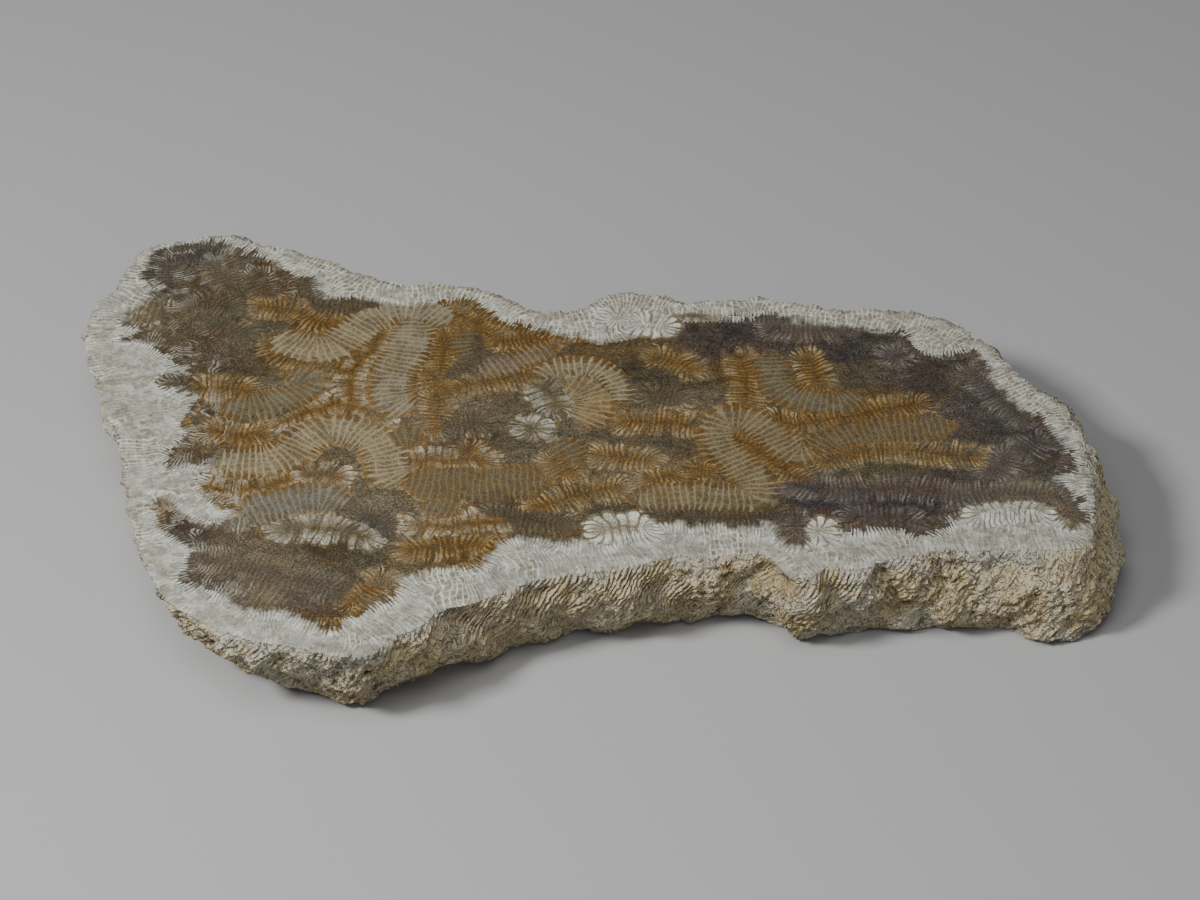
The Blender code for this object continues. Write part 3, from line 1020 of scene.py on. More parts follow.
def keep_points(mesh):
    depth = np.repeat(net_depths, COLUMNS)
    count = np.tile(np.arange(COLUMNS) * FLUTES / COLUMNS, ROWS + 1)
    turn, radius = count / FLUTES * 2 * math.pi, FLUTES / (2 * math.pi)
    strand = [np.cos(turn) * radius, np.sin(turn) * radius, depth / PITCH * STRAND_STRETCH]
    on_net = {
        "out": np.column_stack([net_out.reshape(-1, 2), np.zeros(NET)]),
        "flute": count,
        "strand": np.column_stack(strand),
        "depth": depth,
        "netted": np.ones(NET),
    }
    for name, values in on_net.items():
        rest = np.zeros((len(mesh.vertices) - NET, *values.shape[1:]))
        add_attribute(mesh, name, "POINT", np.concatenate([values, rest]))
    ground = on_all_points(COMMON_GROUND, face_ground, base_ground)
    add_attribute(mesh, "ground", "POINT", ground)
    add_attribute(mesh, "heart", "POINT", on_all_points(DEEP_IN_RIND, face_heart, base_heart))
    look = on_all_points(0, face_look, base_look)
    for k, name in enumerate(("petal", "septum", "bed", "force")):
        parts = np.array([VALLEY_LOOKS[line.look][k] for line in valleys])
        add_attribute(mesh, name, "POINT", parts[look])


def keep_faces(mesh):
    owner = np.concatenate([face_owner, np.full(QUADS, EDGE), base_owner])
    tones = [LADDER_LOOKS[line.look] if line.half else NO_LADDER for line in every_line]
    for k, name in enumerate(("cell", "rung", "show")):
        add_attribute(mesh, name, "FACE", np.array([tone[k] for tone in tones])[owner])
    add_attribute(mesh, "ladder", "FACE", np.concatenate([face_half, np.zeros(QUADS), base_half]))
    rosette = np.array([line.look == "rosette" for line in every_line], float)
    add_attribute(mesh, "rosette", "FACE", rosette[owner])
    add_attribute(mesh, "whim", "FACE", owner * WHIM_STEP)
    is_skin = np.repeat([0.0, 1.0, 0.0], [FACES, QUADS, len(base_owner)])
    add_attribute(mesh, "is_skin", "FACE", is_skin)


def keep_septa_map(mesh):
    """UV map: septa counted along, and millimetres off the line or below the polished face."""
    _, column, row = skin_quads()
    left, right = column * FLUTES / COLUMNS, (column + 1) * FLUTES / COLUMNS
    high, low = net_depths[row], net_depths[row + 1]
    along = np.column_stack([left, right, right, left])
    down = np.column_stack([high, high, low, low])
    skin = np.stack([along, down], axis=2).reshape(-1, 2)
    under = base_septa[:, ::-1].reshape(-1, 2)
    made = mesh.uv_layers.new(name="septa")
    values = np.vstack([face_septa.reshape(-1, 2), skin, under])
    made.data.foreach_set("uv", values.astype(np.float32).ravel())


keep_points(slab_mesh)
keep_faces(slab_mesh)
keep_septa_map(slab_mesh)
print("kept:", ", ".join(a.name for a in slab_mesh.attributes if not a.name.startswith(".")))

# %% [markdown]
# A second map lays the slab out flat for painting: the polished face as large as it can be, since
# all its drawing is fine, then the base at half that size, and the skin in four strips.

# %% Lay the slab out flat
STRIPS = 4
GAP = 0.006


def layout(mesh):
    low = net[:, :, :2].reshape(-1, 2).min(axis=0)
    size = net[:, :, :2].reshape(-1, 2).max(axis=0) - low
    scale = (1 - 2 * GAP) / size[0]
    places = np.zeros(len(mesh.vertices) * 3)
    mesh.vertices.foreach_get("co", places)
    flat = (places.reshape(-1, 3)[:, :2] / MM - low) * scale
    corner = np.zeros(len(mesh.loops), int)
    mesh.loops.foreach_get("vertex_index", corner)
    uv = flat[corner] + GAP
    top = size[1] * scale + 2 * GAP
    base = slice(FACES * 3 + QUADS * 4, None)
    uv[base] = flat[corner[base]] * 0.5 + (GAP, top + GAP)
    _, column, row = skin_quads()
    per_strip = COLUMNS // STRIPS
    strip, place = np.divmod(column, per_strip)
    width = 0.5 - 3 * GAP
    tall = (1 - top) / STRIPS - 2 * GAP
    left = 0.5 + 2 * GAP + place / per_strip * width
    right = left + width / per_strip
    foot = top + GAP + strip * (tall + 2 * GAP)
    high, below = (foot + tall * (1 - net_depths[row + k] / THICKNESS) for k in (0, 1))
    quads = np.column_stack([left, high, right, high, right, below, left, below])
    uv[FACES * 3 : FACES * 3 + QUADS * 4] = quads.reshape(-1, 2)
    made = mesh.uv_layers.new(name="OFBake")
    made.data.foreach_set("uv", uv.astype(np.float32).ravel())
    return uv


flat_map = layout(slab_mesh)
print("flat map from", flat_map.min(axis=0).round(3), "to", flat_map.max(axis=0).round(3))

# %% [markdown]
# ## The polished face
# Polished silica is glassy: a fairly smooth surface with the colours lying in it. The drawing is
# one pattern. Folding the septa count gives thin lines, its whole part names a cell, and random
# numbers from that name make each cell a little longer, paler or darker than the next.

# %% Read what the mesh carries
CARRIED = {
    "Color": "ground petal septum bed cell rung",
    "Fac": "heart force ladder show rosette whim relief drift fluted",
    "Vector": "strand",
}


def read_surface(bench):
    """What the surface carries, as sockets. The noises read the place on it."""
    got = SimpleNamespace()
    got.place = bench.place = bench.node("ShaderNodeTexCoord", out="Object").scaled(1 / MM)
    septa = bench.node("ShaderNodeUVMap", {"uv_map": "septa"})
    got.count, got.aside = bench.part(septa, "X"), bench.part(septa, "Y")
    for out, names in CARRIED.items():
        for name in names.split():
            socket = bench.node("ShaderNodeAttribute", {"attribute_name": name}, {}, out)
            setattr(got, name, socket)
    return got


print("read from the mesh:", CARRIED)

# %% [markdown]
# The pattern is written once and serves both sawn faces, the polished one and the base. Its count
# of septa is first pushed about by noise, because no coral is drawn with a ruler.

# %% Pattern of the septa
CELL_LENGTH = 1.8  # of a ladder's cell along its septa, in mm
PETALS_PER_SEPTUM = 0.62
LINE = (0.50, 0.86)  # where in the fold a septum starts and is full
SIDES = 31.0  # the strips on a line's other side are named this much higher
PETAL_SIDES = 17.0
PETAL_REACH = 0.76  # half the width of a petal's oval, as a share of the fold


def random_of(bench, *numbers):
    """A random number from 0 to 1 that depends on up to three numbers."""
    key = bench.joined(*numbers)
    return bench.node("ShaderNodeTexWhiteNoise", {}, {"Vector": key}, "Value")


def septa_pattern(bench, got):
    """Masks of the drawing, each from 0 to 1, and the random numbers of its strips and cells."""
    made = SimpleNamespace()
    made.root = got.aside.math("ABSOLUTE") - got.ladder  # from the line, or the ladder's border
    tilt = bench.stray(made.root.most(0.0), 10.0) * 0.8
    made.count = got.count + bench.stray(0.55, 1.4, 3.0) + tilt + bench.stray(1.0, 6.0)
    made.fold = made.count.fold()
    made.line = made.fold.rise(*LINE)
    side = got.aside.rise(-0.01, 0.01)
    strip = made.count.math("FLOOR") + side * SIDES
    made.luck = random_of(bench, strip, got.whim, 0.5)
    second = random_of(bench, strip, got.whim, 7.5)
    row = got.aside / CELL_LENGTH + made.luck * 0.45 + bench.stray(0.8, 3.0)
    made.cell_luck = random_of(bench, strip, row.math("FLOOR"), got.whim)
    made.bar = row.fold().rise(0.62, 0.90) * (0.45 + 0.55 * made.cell_luck)
    streak_at = bench.joined(made.count, got.aside * 0.22, got.whim)
    fibre_at = bench.joined(made.count, got.aside * 0.45, got.whim)
    made.streak = bench.noise(0.42, 3.0, 0.6, at=streak_at)
    made.fibre = bench.noise(0.26, 2.0, 0.6, at=fibre_at)
    ladder_masks(bench, got, made, second)
    petal_masks(bench, got, made, side)
    return made


def ladder_masks(bench, got, made, second):
    """Where a ladder lies, the spurs that its septa put out, and the glow along its border."""
    is_ladder = got.ladder.rise(0.3, 1.2)
    border = made.root + (made.luck - 0.5) * 1.2 + bench.stray(3.6, 3.0, 3.0) - made.line * 0.7
    made.ladder = border.fall(-1.0, 0.4) * is_ladder
    made.spur = made.line * (made.root - second * 2.2).fall(-0.8, 0.6) * is_ladder
    made.glow = border.rise(-0.8, 0.4) * border.fall(0.4, 2.4) * is_ladder
    start = (made.root - is_ladder * 0.8).rise(-0.3, 0.9)
    wide = made.root.rise(0.3, 3.3) * 0.34
    reach = (made.root - made.luck * 2.4).fall(2.2, 3.8)
    made.barb = (made.fold + wide).rise(0.60, 0.88) * reach * start
    made.comb = (made.count * 1.5).fold()


def petal_masks(bench, got, made, side):
    """Ovals between the septa of a valley, with the rim and the outline of each."""
    pair = made.count * PETALS_PER_SEPTUM
    strip = pair.math("FLOOR") + side * PETAL_SIDES
    made.own = random_of(bench, strip, got.whim, 3.5)
    other = random_of(bench, strip, got.whim, 9.5)
    middle = 2.5 + made.own * 0.9 - got.rosette * 0.5
    half = 1.5 + other * 1.1 + got.rosette * 0.4
    across = pair.fold() / PETAL_REACH
    along = (made.root - middle) / half
    across, along = across * across, along * along
    oval = across * across + along * along
    drawn = other.rise(0.10, 0.35) * (0.45 + 0.55 * bench.noise(1.3, 3.0).rise(0.42, 0.56))
    drawn = drawn.most(got.rosette * 0.9)
    made.petal = oval.fall(0.55, 1.0) * drawn
    made.rim = oval.rise(0.10, 0.40)
    made.tip = (made.root - middle * 0.4).rise(0.0, 2.6)
    made.outline = oval.rise(0.7, 1.1) * oval.fall(1.8, 4.0) * drawn


print("a septum is drawn every", PITCH, "mm, a cell every", CELL_LENGTH, "mm")

# %% [markdown]
# The heart's colours are laid over one another in the order in which they formed. First comes the
# stained ground, with washes of rust and moss, faint stripes along the septa, and a fine grain.

# %% Ground of the heart
DIM, BRIGHT = shade("4a4a4a"), shade("c4c4c4")
DULL, CLEAR = shade("7c7c7c"), shade("d8d8d8")
PALER = (1.30, 1.27, 1.20, 1.0)
DARKER = (0.74, 0.67, 0.56, 1.0)
RUST_GLOW = shade("7e5a28")
LILAC = shade("79706c")
SPARK = shade("b9b6ae")


def stained_ground(bench, got, pattern, patch, grain):
    """The stone between the septa, with washes of rust and moss, faint stripes and grain."""
    cloud, streak, fibre = (
        bench.mix(wave.rise(*reach), DIM, BRIGHT)
        for wave, reach in (
            (bench.noise(3.0, 5.0, 0.65), (0.25, 0.75)),
            (pattern.streak, (0.25, 0.75)),
            (pattern.fibre, (0.34, 0.66)),
        )
    )
    rust = bench.noise(3.5, 3.0, 0.6, shift=(40.0, 0.0, 5.0)).rise(0.48, 0.68)
    moss = bench.noise(4.0, 3.0, 0.6, shift=(0.0, 60.0, 5.0)).rise(0.52, 0.70)
    ground = bench.laid(
        got.ground,
        (0.55, cloud, "OVERLAY"),
        (rust * 0.24, RUST_GLOW),
        (moss * 0.30, GROUND["moss"]),
        (0.35, streak, "OVERLAY"),
    )
    near = pattern.root.fall(2.5, 6.0)
    lined = (0.15 + 0.50 * patch) * (0.25 + 0.75 * near) * (0.4 + 0.6 * pattern.luck)
    deep, pale = (bench.mix(1.0, ground, tint, "MULTIPLY") for tint in (DARKER, PALER))
    stripes = bench.mix(pattern.fold.rise(0.35, 0.85), deep, pale)
    return bench.laid(ground, (lined, stripes), (0.50, grain, "OVERLAY"), (0.50, fibre, "OVERLAY"))


print("grain from", [round(c, 2) for c in DIM[:3]], "to", [round(c, 2) for c in BRIGHT[:3]])

# %% [markdown]
# Over the ground lie the barbs of the feathers, then the pale petals between them, a glow of rust
# where a ladder begins, and last the ladders themselves.


# %% Colours of the heart
def petal_fill(bench, got, pattern, ground, soft_grain):
    """The pale stone in a petal. Some petals are filled only round their rims."""
    hollow = bench.mix(0.55, ground, got.petal)
    full = pattern.rim.most(1.0 - pattern.own).most(got.rosette)
    fill = bench.mix(full, hollow, got.petal)
    fill = bench.mix(pattern.tip, bench.mix(0.6, fill, got.bed), fill)
    return bench.mix(0.35, fill, soft_grain, "OVERLAY")


def ladder_fill(bench, got, pattern, ground, grain):
    """The cells of a ladder and the rungs between them."""
    cell = bench.mix(pattern.cell_luck.rise(0.4, 1.0) * 0.45, got.cell, ground)
    cell = bench.mix(pattern.luck.rise(0.7, 1.0) * 0.15, cell, LILAC)
    net = (pattern.line * 0.75).most(pattern.bar * 0.9)
    rung = bench.mix(net * (0.5 + 0.45 * pattern.luck), cell, got.rung)
    return bench.mix(0.45, rung, grain, "OVERLAY")


def heart_colour(bench, got, pattern):
    patch = bench.noise(5.0, 3.0).rise(0.34, 0.60)
    fine = bench.noise(0.5, 3.0, 0.75).rise(0.34, 0.66)
    grain, soft_grain = bench.mix(fine, DIM, BRIGHT), bench.mix(fine, DULL, CLEAR)
    worn = bench.noise(2.0, 4.0, 0.65, shift=(70.0, 0.0, 0.0)).rise(0.38, 0.58)
    bed = pattern.root.fall(1.0, 4.5) * (0.15 + 0.85 * patch)
    ground = stained_ground(bench, got, pattern, patch, grain)
    ground = bench.mix(bed * (0.35 + 0.35 * worn), ground, got.bed)
    barb = pattern.barb * (0.10 + 0.75 * worn) * (0.25 + 0.75 * pattern.luck)
    gold = bench.mix(pattern.tip * pattern.luck * 0.7, got.septum, got.petal)
    cluster = 0.55 + 0.45 * bench.noise(8.0, shift=(0.0, 0.0, 70.0)).rise(0.43, 0.53)
    outline = pattern.outline * got.force * cluster
    vivid = (0.50 + 0.50 * pattern.own).most(got.rosette * 0.95)
    petal = pattern.petal * got.force * cluster * vivid
    fill = petal_fill(bench, got, pattern, ground, soft_grain)
    shown = got.show * (0.45 + 0.55 * bench.noise(6.0, 3.0).rise(0.34, 0.60))
    spark = bench.noise(0.55, shift=(9.0, 9.0, 40.0)).rise(0.66, 0.74)
    rungs = ladder_fill(bench, got, pattern, ground, grain)
    return bench.laid(
        ground,
        (barb * (0.60 + 0.40 * patch), gold),
        (outline * 0.65, got.septum),
        (petal, fill),
        (pattern.glow * (0.03 + 0.17 * patch), RUST_GLOW),
        (0.50, soft_grain, "OVERLAY"),
        (pattern.spur * shown * 0.75, got.rung),
        (spark * 0.22, SPARK),
        ((pattern.ladder * shown).least(1.0), rungs),
    )


print("rust glow:", [round(c, 2) for c in RUST_GLOW[:3]], "spark:", [round(c, 2) for c in SPARK[:3]])

# %% [markdown]
# The rind is chalk with tiny dark pores. Its septa show as paler walls, most of all towards the
# back right, where the chalk has a tan net in it. Where it meets the heart it ends in a comb.

# %% Colours of the rind
CHALK = shade("b6b6ab")
CHALK_SHADOW = shade("969180")
CHALK_TIP = shade("d6dad2")
PORE = shade("857c67")
HOLLOW = shade("6f6454")
RUST_SPECK = shade("6e5434")
RIND_TAN = shade("8f8162")
SCRAPS_TO, SCRAPS_FROM = -82.0, -66.0  # chalk scraps lie in the heart up to this place, in mm


def rind_colour(bench, got, pattern):
    inner = (got.heart + 5.0).rise(0.0, 4.0)
    whole = 1.0 - got.rosette
    far = (bench.part(got.place, "Y") + bench.part(got.place, "X") * 0.35).rise(0.0, 40.0)
    netted = (bench.noise(10.0, 3.0) + far * 0.14).rise(0.50, 0.62) * whole
    plain = 1.0 - netted * 0.5
    wall = (pattern.fold.rise(0.50, 0.86) * whole).most(pattern.bar * 0.85 * whole)
    tip = pattern.comb.fall(0.45, 0.80) * inner * (0.3 + 0.7 * pattern.luck)
    seam = pattern.comb.rise(0.60, 0.90) * inner * pattern.luck * plain
    hole = (1.0 - wall) * pattern.cell_luck.rise(0.35, 1.0) * (0.15 + 0.85 * netted)
    gap = pattern.fold.rise(0.55, 0.85) * got.rosette * pattern.root.rise(0.3, 1.0)
    crumb = bench.cells(1.0).rise(0.25, 0.75) * bench.noise(4.0).rise(0.4, 0.6)
    wobble = bench.noise(1.5, 3.0, out="Color").scaled(1.6)
    chunk = bench.part(bench.cells(1.7, shift=wobble, out="Color"), "X")
    tan = bench.noise(4.0, 6.0, 0.75, shift=(0.0, 33.0, 8.0)).rise(0.52, 0.68)
    speck = bench.cells(2.6, shift=(9.0, 2.0, 1.0)).fall(0.06, 0.14)
    return bench.laid(
        CHALK_SHADOW,
        (bench.noise(5.0, 6.0, 0.72).rise(0.32, 0.62), CHALK),
        (netted * (0.25 + 0.45 * pattern.cell_luck), RIND_TAN),
        ((wall * (0.10 + 0.75 * netted)).most(got.rosette * 0.6), CHALK_TIP),
        (tip * plain, CHALK_TIP),
        (seam * 0.6, PORE),
        (hole * 0.80, PORE),
        (gap * 0.80, HOLLOW),
        (crumb * 0.55, CHALK_SHADOW),
        (0.45, bench.mix(chunk, DIM, BRIGHT), "OVERLAY"),
        (tan * (1.0 - inner * 0.6) * 0.6, RIND_TAN),
        (speck * (1.0 - inner * 0.7) * 0.8, RUST_SPECK),
    )


def rind_mask(bench, got, pattern):
    """1 in the rind. In places its septa comb far into the heart, elsewhere it fades into it."""
    combed = bench.noise(17.0, shift=(3.0, 50.0, 0.0)).rise(0.42, 0.56)
    tooth = (pattern.luck - 0.5) * 2.8 + pattern.comb.rise(0.30, 0.80) * 1.3
    ragged = bench.stray(7.0 - combed * 3.5, 2.4, 6.0, 0.65)
    reach = got.heart + tooth * (0.25 + 0.75 * combed) + ragged - 0.4
    rind = (reach / (1.7 - combed * 1.35)).fall(-1.0, 1.0)
    east = bench.part(got.place, "X").fall(SCRAPS_TO, SCRAPS_FROM)
    scrap = bench.noise(4.5, 4.0, 0.6, shift=(0.0, 0.0, 25.0)).rise(0.47, 0.60)
    scrap = scrap * pattern.comb.rise(0.35, 0.75) * got.heart.fall(5.0, 12.0)
    return rind.most(scrap * east * 0.7)


def stone(bench):
    """Colour of a sawn face, with what the surface carries, its pattern and where it is rind."""
    got = read_surface(bench)
    pattern = septa_pattern(bench, got)
    rind = rind_mask(bench, got, pattern)
    colour = bench.mix(rind, heart_colour(bench, got, pattern), rind_colour(bench, got, pattern))
    return colour, got, pattern, rind


print("chalk, pore:", [round(c, 2) for c in CHALK[:3]], [round(c, 2) for c in PORE[:3]])

# %% [markdown]
# The polish lies over the heart like a thin clear coat. Chalk takes no polish, so the rind is
# dull, and its pores are slightly sunk.

# %% Make the polished face
HEART_ROUGHNESS = 0.30
RIND_ROUGHNESS = 0.62
POLISH = 0.22


def new_material(name):
    material = bpy.data.materials.new(name)
    material.use_nodes = True
    return material, Bench(material.node_tree)


def bumped(bench, height, strength, distance):
    """A normal bent by a height in millimetres."""
    settings = {"Height": height, "Strength": strength, "Distance": distance * MM}
    return bench.node("ShaderNodeBump", {}, settings, "Normal")


def finish_material(bench, sockets):
    """Ends a material's tree with the shader that takes these sockets."""
    shader = bench.node("ShaderNodeBsdfPrincipled", {}, sockets)
    bench.node("ShaderNodeOutputMaterial", {}, {"Surface": shader})


def polished_face():
    material, bench = new_material("polished_coral")
    colour, _, pattern, rind = stone(bench)
    rough = HEART_ROUGHNESS + rind * (RIND_ROUGHNESS - HEART_ROUGHNESS) + bench.stray(0.10, 0.8)
    coat = POLISH * (1.0 - rind)
    crumbs = bench.noise(0.7, 4.0, 0.65) * 1.4 - bench.cells(1.3) * 0.5
    height = pattern.line * 0.06 + (pattern.line * 0.3 + crumbs) * rind
    normal = bumped(bench, height, 0.55, 0.45)
    varied = {"Base Color": colour, "Roughness": rough, "Coat Weight": coat, "Normal": normal}
    finish_material(bench, {**varied, "Coat Roughness": 0.12, "IOR": 1.46})
    return material


polished = polished_face()
print("polished face:", len(polished.node_tree.nodes), "nodes")

# %% [markdown]
# ## The weathered skin and the sawn base
# The skin is the outside of the old colony: porous limestone-like stone, cream on its high places,
# ochre where rust has washed over it, and dark in its crevices, with grime and painted shade there.
# The painted shade follows the height that the weathering gives each point, so the two always agree.

# %% Make the skin
# The crevice tone paints the shade of the skin's low places as well as its grime.
SKIN_TONES = {
    "cream": "e8d5a6", "bone": "f8f0d6", "ochre": "c6a468", "grey": "b8b3a2", "crevice": "44351f",
    "chalk": "d8d5c6", "ash": "bfc0ba",
}
SKIN_TONES = {tone: shade(code) for tone, code in SKIN_TONES.items()}
LIGHTEST_AT = -12.0  # the skin is lightest and least darkened round this place along the slab, in mm


def clean_skin(bench, got, lighter_stretch):
    """Colour of the skin before its grime and painted shade: cream and bone, rusty, grey, and pale at
    both edges.
    """
    rust = bench.noise(7.0, 6.0, 0.72, shift=(31.0, 7.0, 3.0)).rise(0.50, 0.68)
    ash = bench.noise(6.0, 6.0, 0.72, shift=(5.0, 70.0, 9.0)).rise(0.52, 0.68)
    top = (got.aside + bench.stray(12.0, 8.0, 4.0)).fall(-0.5, 3.0)
    foot = (THICKNESS - got.aside + bench.stray(16.0, 9.0, 4.0)).fall(-1.5, 1.5)
    speck = bench.noise(0.8, 5.0, 0.75).rise(0.52, 0.72)
    return bench.laid(
        SKIN_TONES["cream"],
        (bench.noise(13.0, 4.0, 0.6).rise(0.40, 0.62), SKIN_TONES["bone"]),
        (rust * 0.8, SKIN_TONES["ochre"]),
        (lighter_stretch * 0.50, SKIN_TONES["cream"]),
        (ash * 0.5, SKIN_TONES["grey"]),
        (top * 0.85, SKIN_TONES["chalk"]),
        (foot * 0.8, SKIN_TONES["ash"]),
        (speck * 0.45, SKIN_TONES["bone"]),
    )


def weathered_skin():
    material, bench = new_material("weathered_coral")
    got = read_surface(bench)
    along = bench.part(got.place, "X")
    # A stretch of skin that is lighter, with its grime and painted shade weakened.
    lighter_stretch = (along - LIGHTEST_AT).math("ABSOLUTE").fall(22.0, 42.0).most(along.rise(75.0, 100.0) * 0.7)
    fibre = bench.noise(0.5, 4.0, 0.65, at=got.strand.moved(bench.swirl()))
    speck = bench.noise(0.8, 5.0, 0.75)
    crack = fibre.fall(0.34, 0.46)
    chip = bench.noise(2.2, 5.0, 0.65).fall(0.34, 0.44)
    pore = bench.cells(1.1).fall(0.10, 0.32)
    # Painted shade: darker where the weathering has left the skin low.
    sunk = (0.0 - got.relief).rise(-0.1, 0.75)
    # Grime and painted shade together: low places, cracks, pores and chips are darkened.
    dirt_and_shade = (sunk * 0.95).most(crack * 0.6).most(pore * speck.rise(0.40, 0.6) * 0.8)
    dirt_and_shade = dirt_and_shade.most(chip * 0.5) * (1.0 - got.fluted * 0.5) * (1.0 - lighter_stretch * 0.45)
    flutes = (got.count + got.drift + bench.stray(0.7, 1.3, 3.0)).fold().rise(0.50, 0.92)
    worn = bench.noise(1.8, 4.0, 0.65).rise(0.40, 0.58)
    # Painted shade in the grooves between the flutes that the weathering raises.
    groove = flutes * got.fluted * (0.15 + 0.85 * worn)
    layer = got.count * 0.55 + got.aside * 0.75 + bench.stray(7.0, 4.0, 3.0)
    broken = bench.noise(2.2, 4.0, 0.65, shift=(0.0, 8.0, 50.0)).rise(0.42, 0.60)
    seam = layer.fold().rise(0.55, 0.95) * (1.0 - got.fluted) * broken
    # All the darkening: grime and painted shade, the painted shade of the flute grooves, and dark seams.
    dark = dirt_and_shade.most((groove * 0.50).most(seam * 0.60))
    colour = bench.mix(dark, clean_skin(bench, got, lighter_stretch), SKIN_TONES["crevice"])
    height = fibre * 0.8 + speck * 1.0 - pore * 0.5 - chip * 0.5 - groove * 1.2 - seam * 1.2
    normal = bumped(bench, height, 1.0, 1.7)
    finish_material(bench, {"Base Color": colour, "Roughness": 0.88, "Normal": normal})
    return material


weathered = weathered_skin()
print("skin:", len(weathered.node_tree.nodes), "nodes,", len(SKIN_TONES), "tones")

# %% [markdown]
# The base was only sawn. It shows the same drawing as the polished face, but dull, pale under a
# film of dust, and with the faint grooves of the saw across it.

# %% Make the base
BASE_DUST = shade("9b9079")


def sawn_base():
    material, bench = new_material("sawn_coral")
    colour, got, *_ = stone(bench)
    colour = bench.mix(0.35 + bench.noise(8.0, 4.0) * 0.3, colour, BASE_DUST)
    kerf = bench.part(got.place, "Y")
    groove = (kerf * 0.8 + bench.noise(20.0) * 2.0).math("SINE")
    normal = bumped(bench, groove + bench.noise(0.6, 3.0), 0.35, 0.2)
    finish_material(bench, {"Base Color": colour, "Roughness": 0.74, "Normal": normal})
    return material


sawn = sawn_base()
print("base:", len(sawn.node_tree.nodes), "nodes")

# %% [markdown]
# ## Weathering the skin
# Rain and sand have eaten the skin by different amounts. Where it was last exposed the septa stand
# as flutes under the polished edge, lower down they have crumbled, and there are pits where borers
# lived. Each of these follows a rule, so a node group makes them, pushing every point of the net
# along its own outward direction. The border with the polished face hardly moves.

# %% Name the inputs of the weathering
WEATHER = {
    # named input: its value, in millimetres but for the seed
    "Flute Height": 1.0,
    "Flute Depth": 22.0,
    "Strand Height": 1.2,
    "Ledge Height": 1.9,
    "Crag Height": 1.8,
    "Crumb Height": 0.35,
    "Pit Depth": 0.8,
    "Edge Wear": 1.2,
    "Foot Wear": 1.6,
    "Seed": 4.0,
}


def named(bench, name, kind="FLOAT"):
    settings = {"data_type": kind}
    return bench.node("GeometryNodeInputNamedAttribute", settings, {"Name": name}, "Attribute")


def ridged(cloud):
    """Noise turned into sharp crests: 1 on a crest."""
    return 1.0 - (cloud - 0.5).math("ABSOLUTE") * 2.6


def new_group():
    """An empty node group with the named inputs, its bench, and the inputs as sockets."""
    tree = bpy.data.node_groups.new("weathering", "GeometryNodeTree")
    tree.is_modifier = True
    add = tree.interface.new_socket
    add("Geometry", in_out="INPUT", socket_type="NodeSocketGeometry")
    for name, value in WEATHER.items():
        add(name, in_out="INPUT", socket_type="NodeSocketFloat").default_value = value
    add("Geometry", in_out="OUTPUT", socket_type="NodeSocketGeometry")
    bench = Bench(tree)
    group = tree.nodes.new("NodeGroupInput")
    return bench, {s.name: Wire(bench, s) for s in group.outputs if s.name}


print("inputs of the weathering:", WEATHER)

# %% [markdown]
# Crests come from noise folded at its middle value, flutes from the folded count of septa, fibres
# from noise drawn out along the strands, and ledges from noise squeezed the same way. Each form
# fades where another takes over, so that the flutes stand clear and the rest stays rough.

# %% Forms of the skin
FLUTES_AT = -8.0  # the flutes are clearest round this place along the slab, in mm


def weathered_forms(bench, given):
    """The forms of the skin before they are put together, each about 1 high."""
    form = SimpleNamespace(depth=named(bench, "depth"), netted=named(bench, "netted"))
    place = bench.node("GeometryNodeInputPosition", out="Position").scaled(1 / MM)
    here = (bench.part(place, "X") - FLUTES_AT).math("ABSOLUTE").fall(12.0, 34.0)
    bench.place = place.moved(bench.joined(given["Seed"] * 17.0, given["Seed"]))
    strand = named(bench, "strand", "FLOAT_VECTOR").moved(bench.swirl())
    form.drift = bench.stray(2.6, 5.0, 3.0) + form.depth * (bench.noise(24.0, 2.0) - 0.5) * 2.0
    count = named(bench, "flute") + form.drift
    form.patch = (bench.noise(10.0, 4.0, 0.6) + here * 0.14 - 0.04).rise(0.48, 0.60)
    hang = given["Flute Depth"] * (0.2 + bench.noise(8.0) * 1.2)
    form.fluted = form.patch * form.depth.fall(hang * 0.7, hang)
    form.flute = (0.45 - count.fold()) * form.fluted
    form.pebbled = 1.0 - form.fluted * 0.7
    form.fibrous = bench.noise(14.0, 2.0).rise(0.48, 0.60)
    form.fibre = ridged(bench.noise(1.0, 3.0, 0.6, at=strand)) - 0.72
    layers = strand.vector("MULTIPLY", {1: (0.22, 0.22, 2.6)})
    form.ledge = ridged(bench.noise(1.0, 4.0, 0.6, at=layers)) - 0.72
    form.crag = ridged(bench.noise(3.4, 6.0, 0.68)) - 0.75
    form.lump = bench.noise(7.5, 2.0) - 0.5
    form.crumb = 0.45 - bench.cells(1.5)
    form.pit = bench.cells(6.0).fall(0.10, 0.34) * bench.noise(12.0).rise(0.45, 0.60)
    form.from_top = form.depth.rise(-0.2, 2.0)
    return form


print("flutes are clearest at", FLUTES_AT, "mm along the slab")

# %% [markdown]
# The forms are added up into one push for every point. The chipped edge moves inwards and a little
# down, and the rim of the foot is lifted here and there. The finish needs to know how high each
# point stands, so the group stores that too.

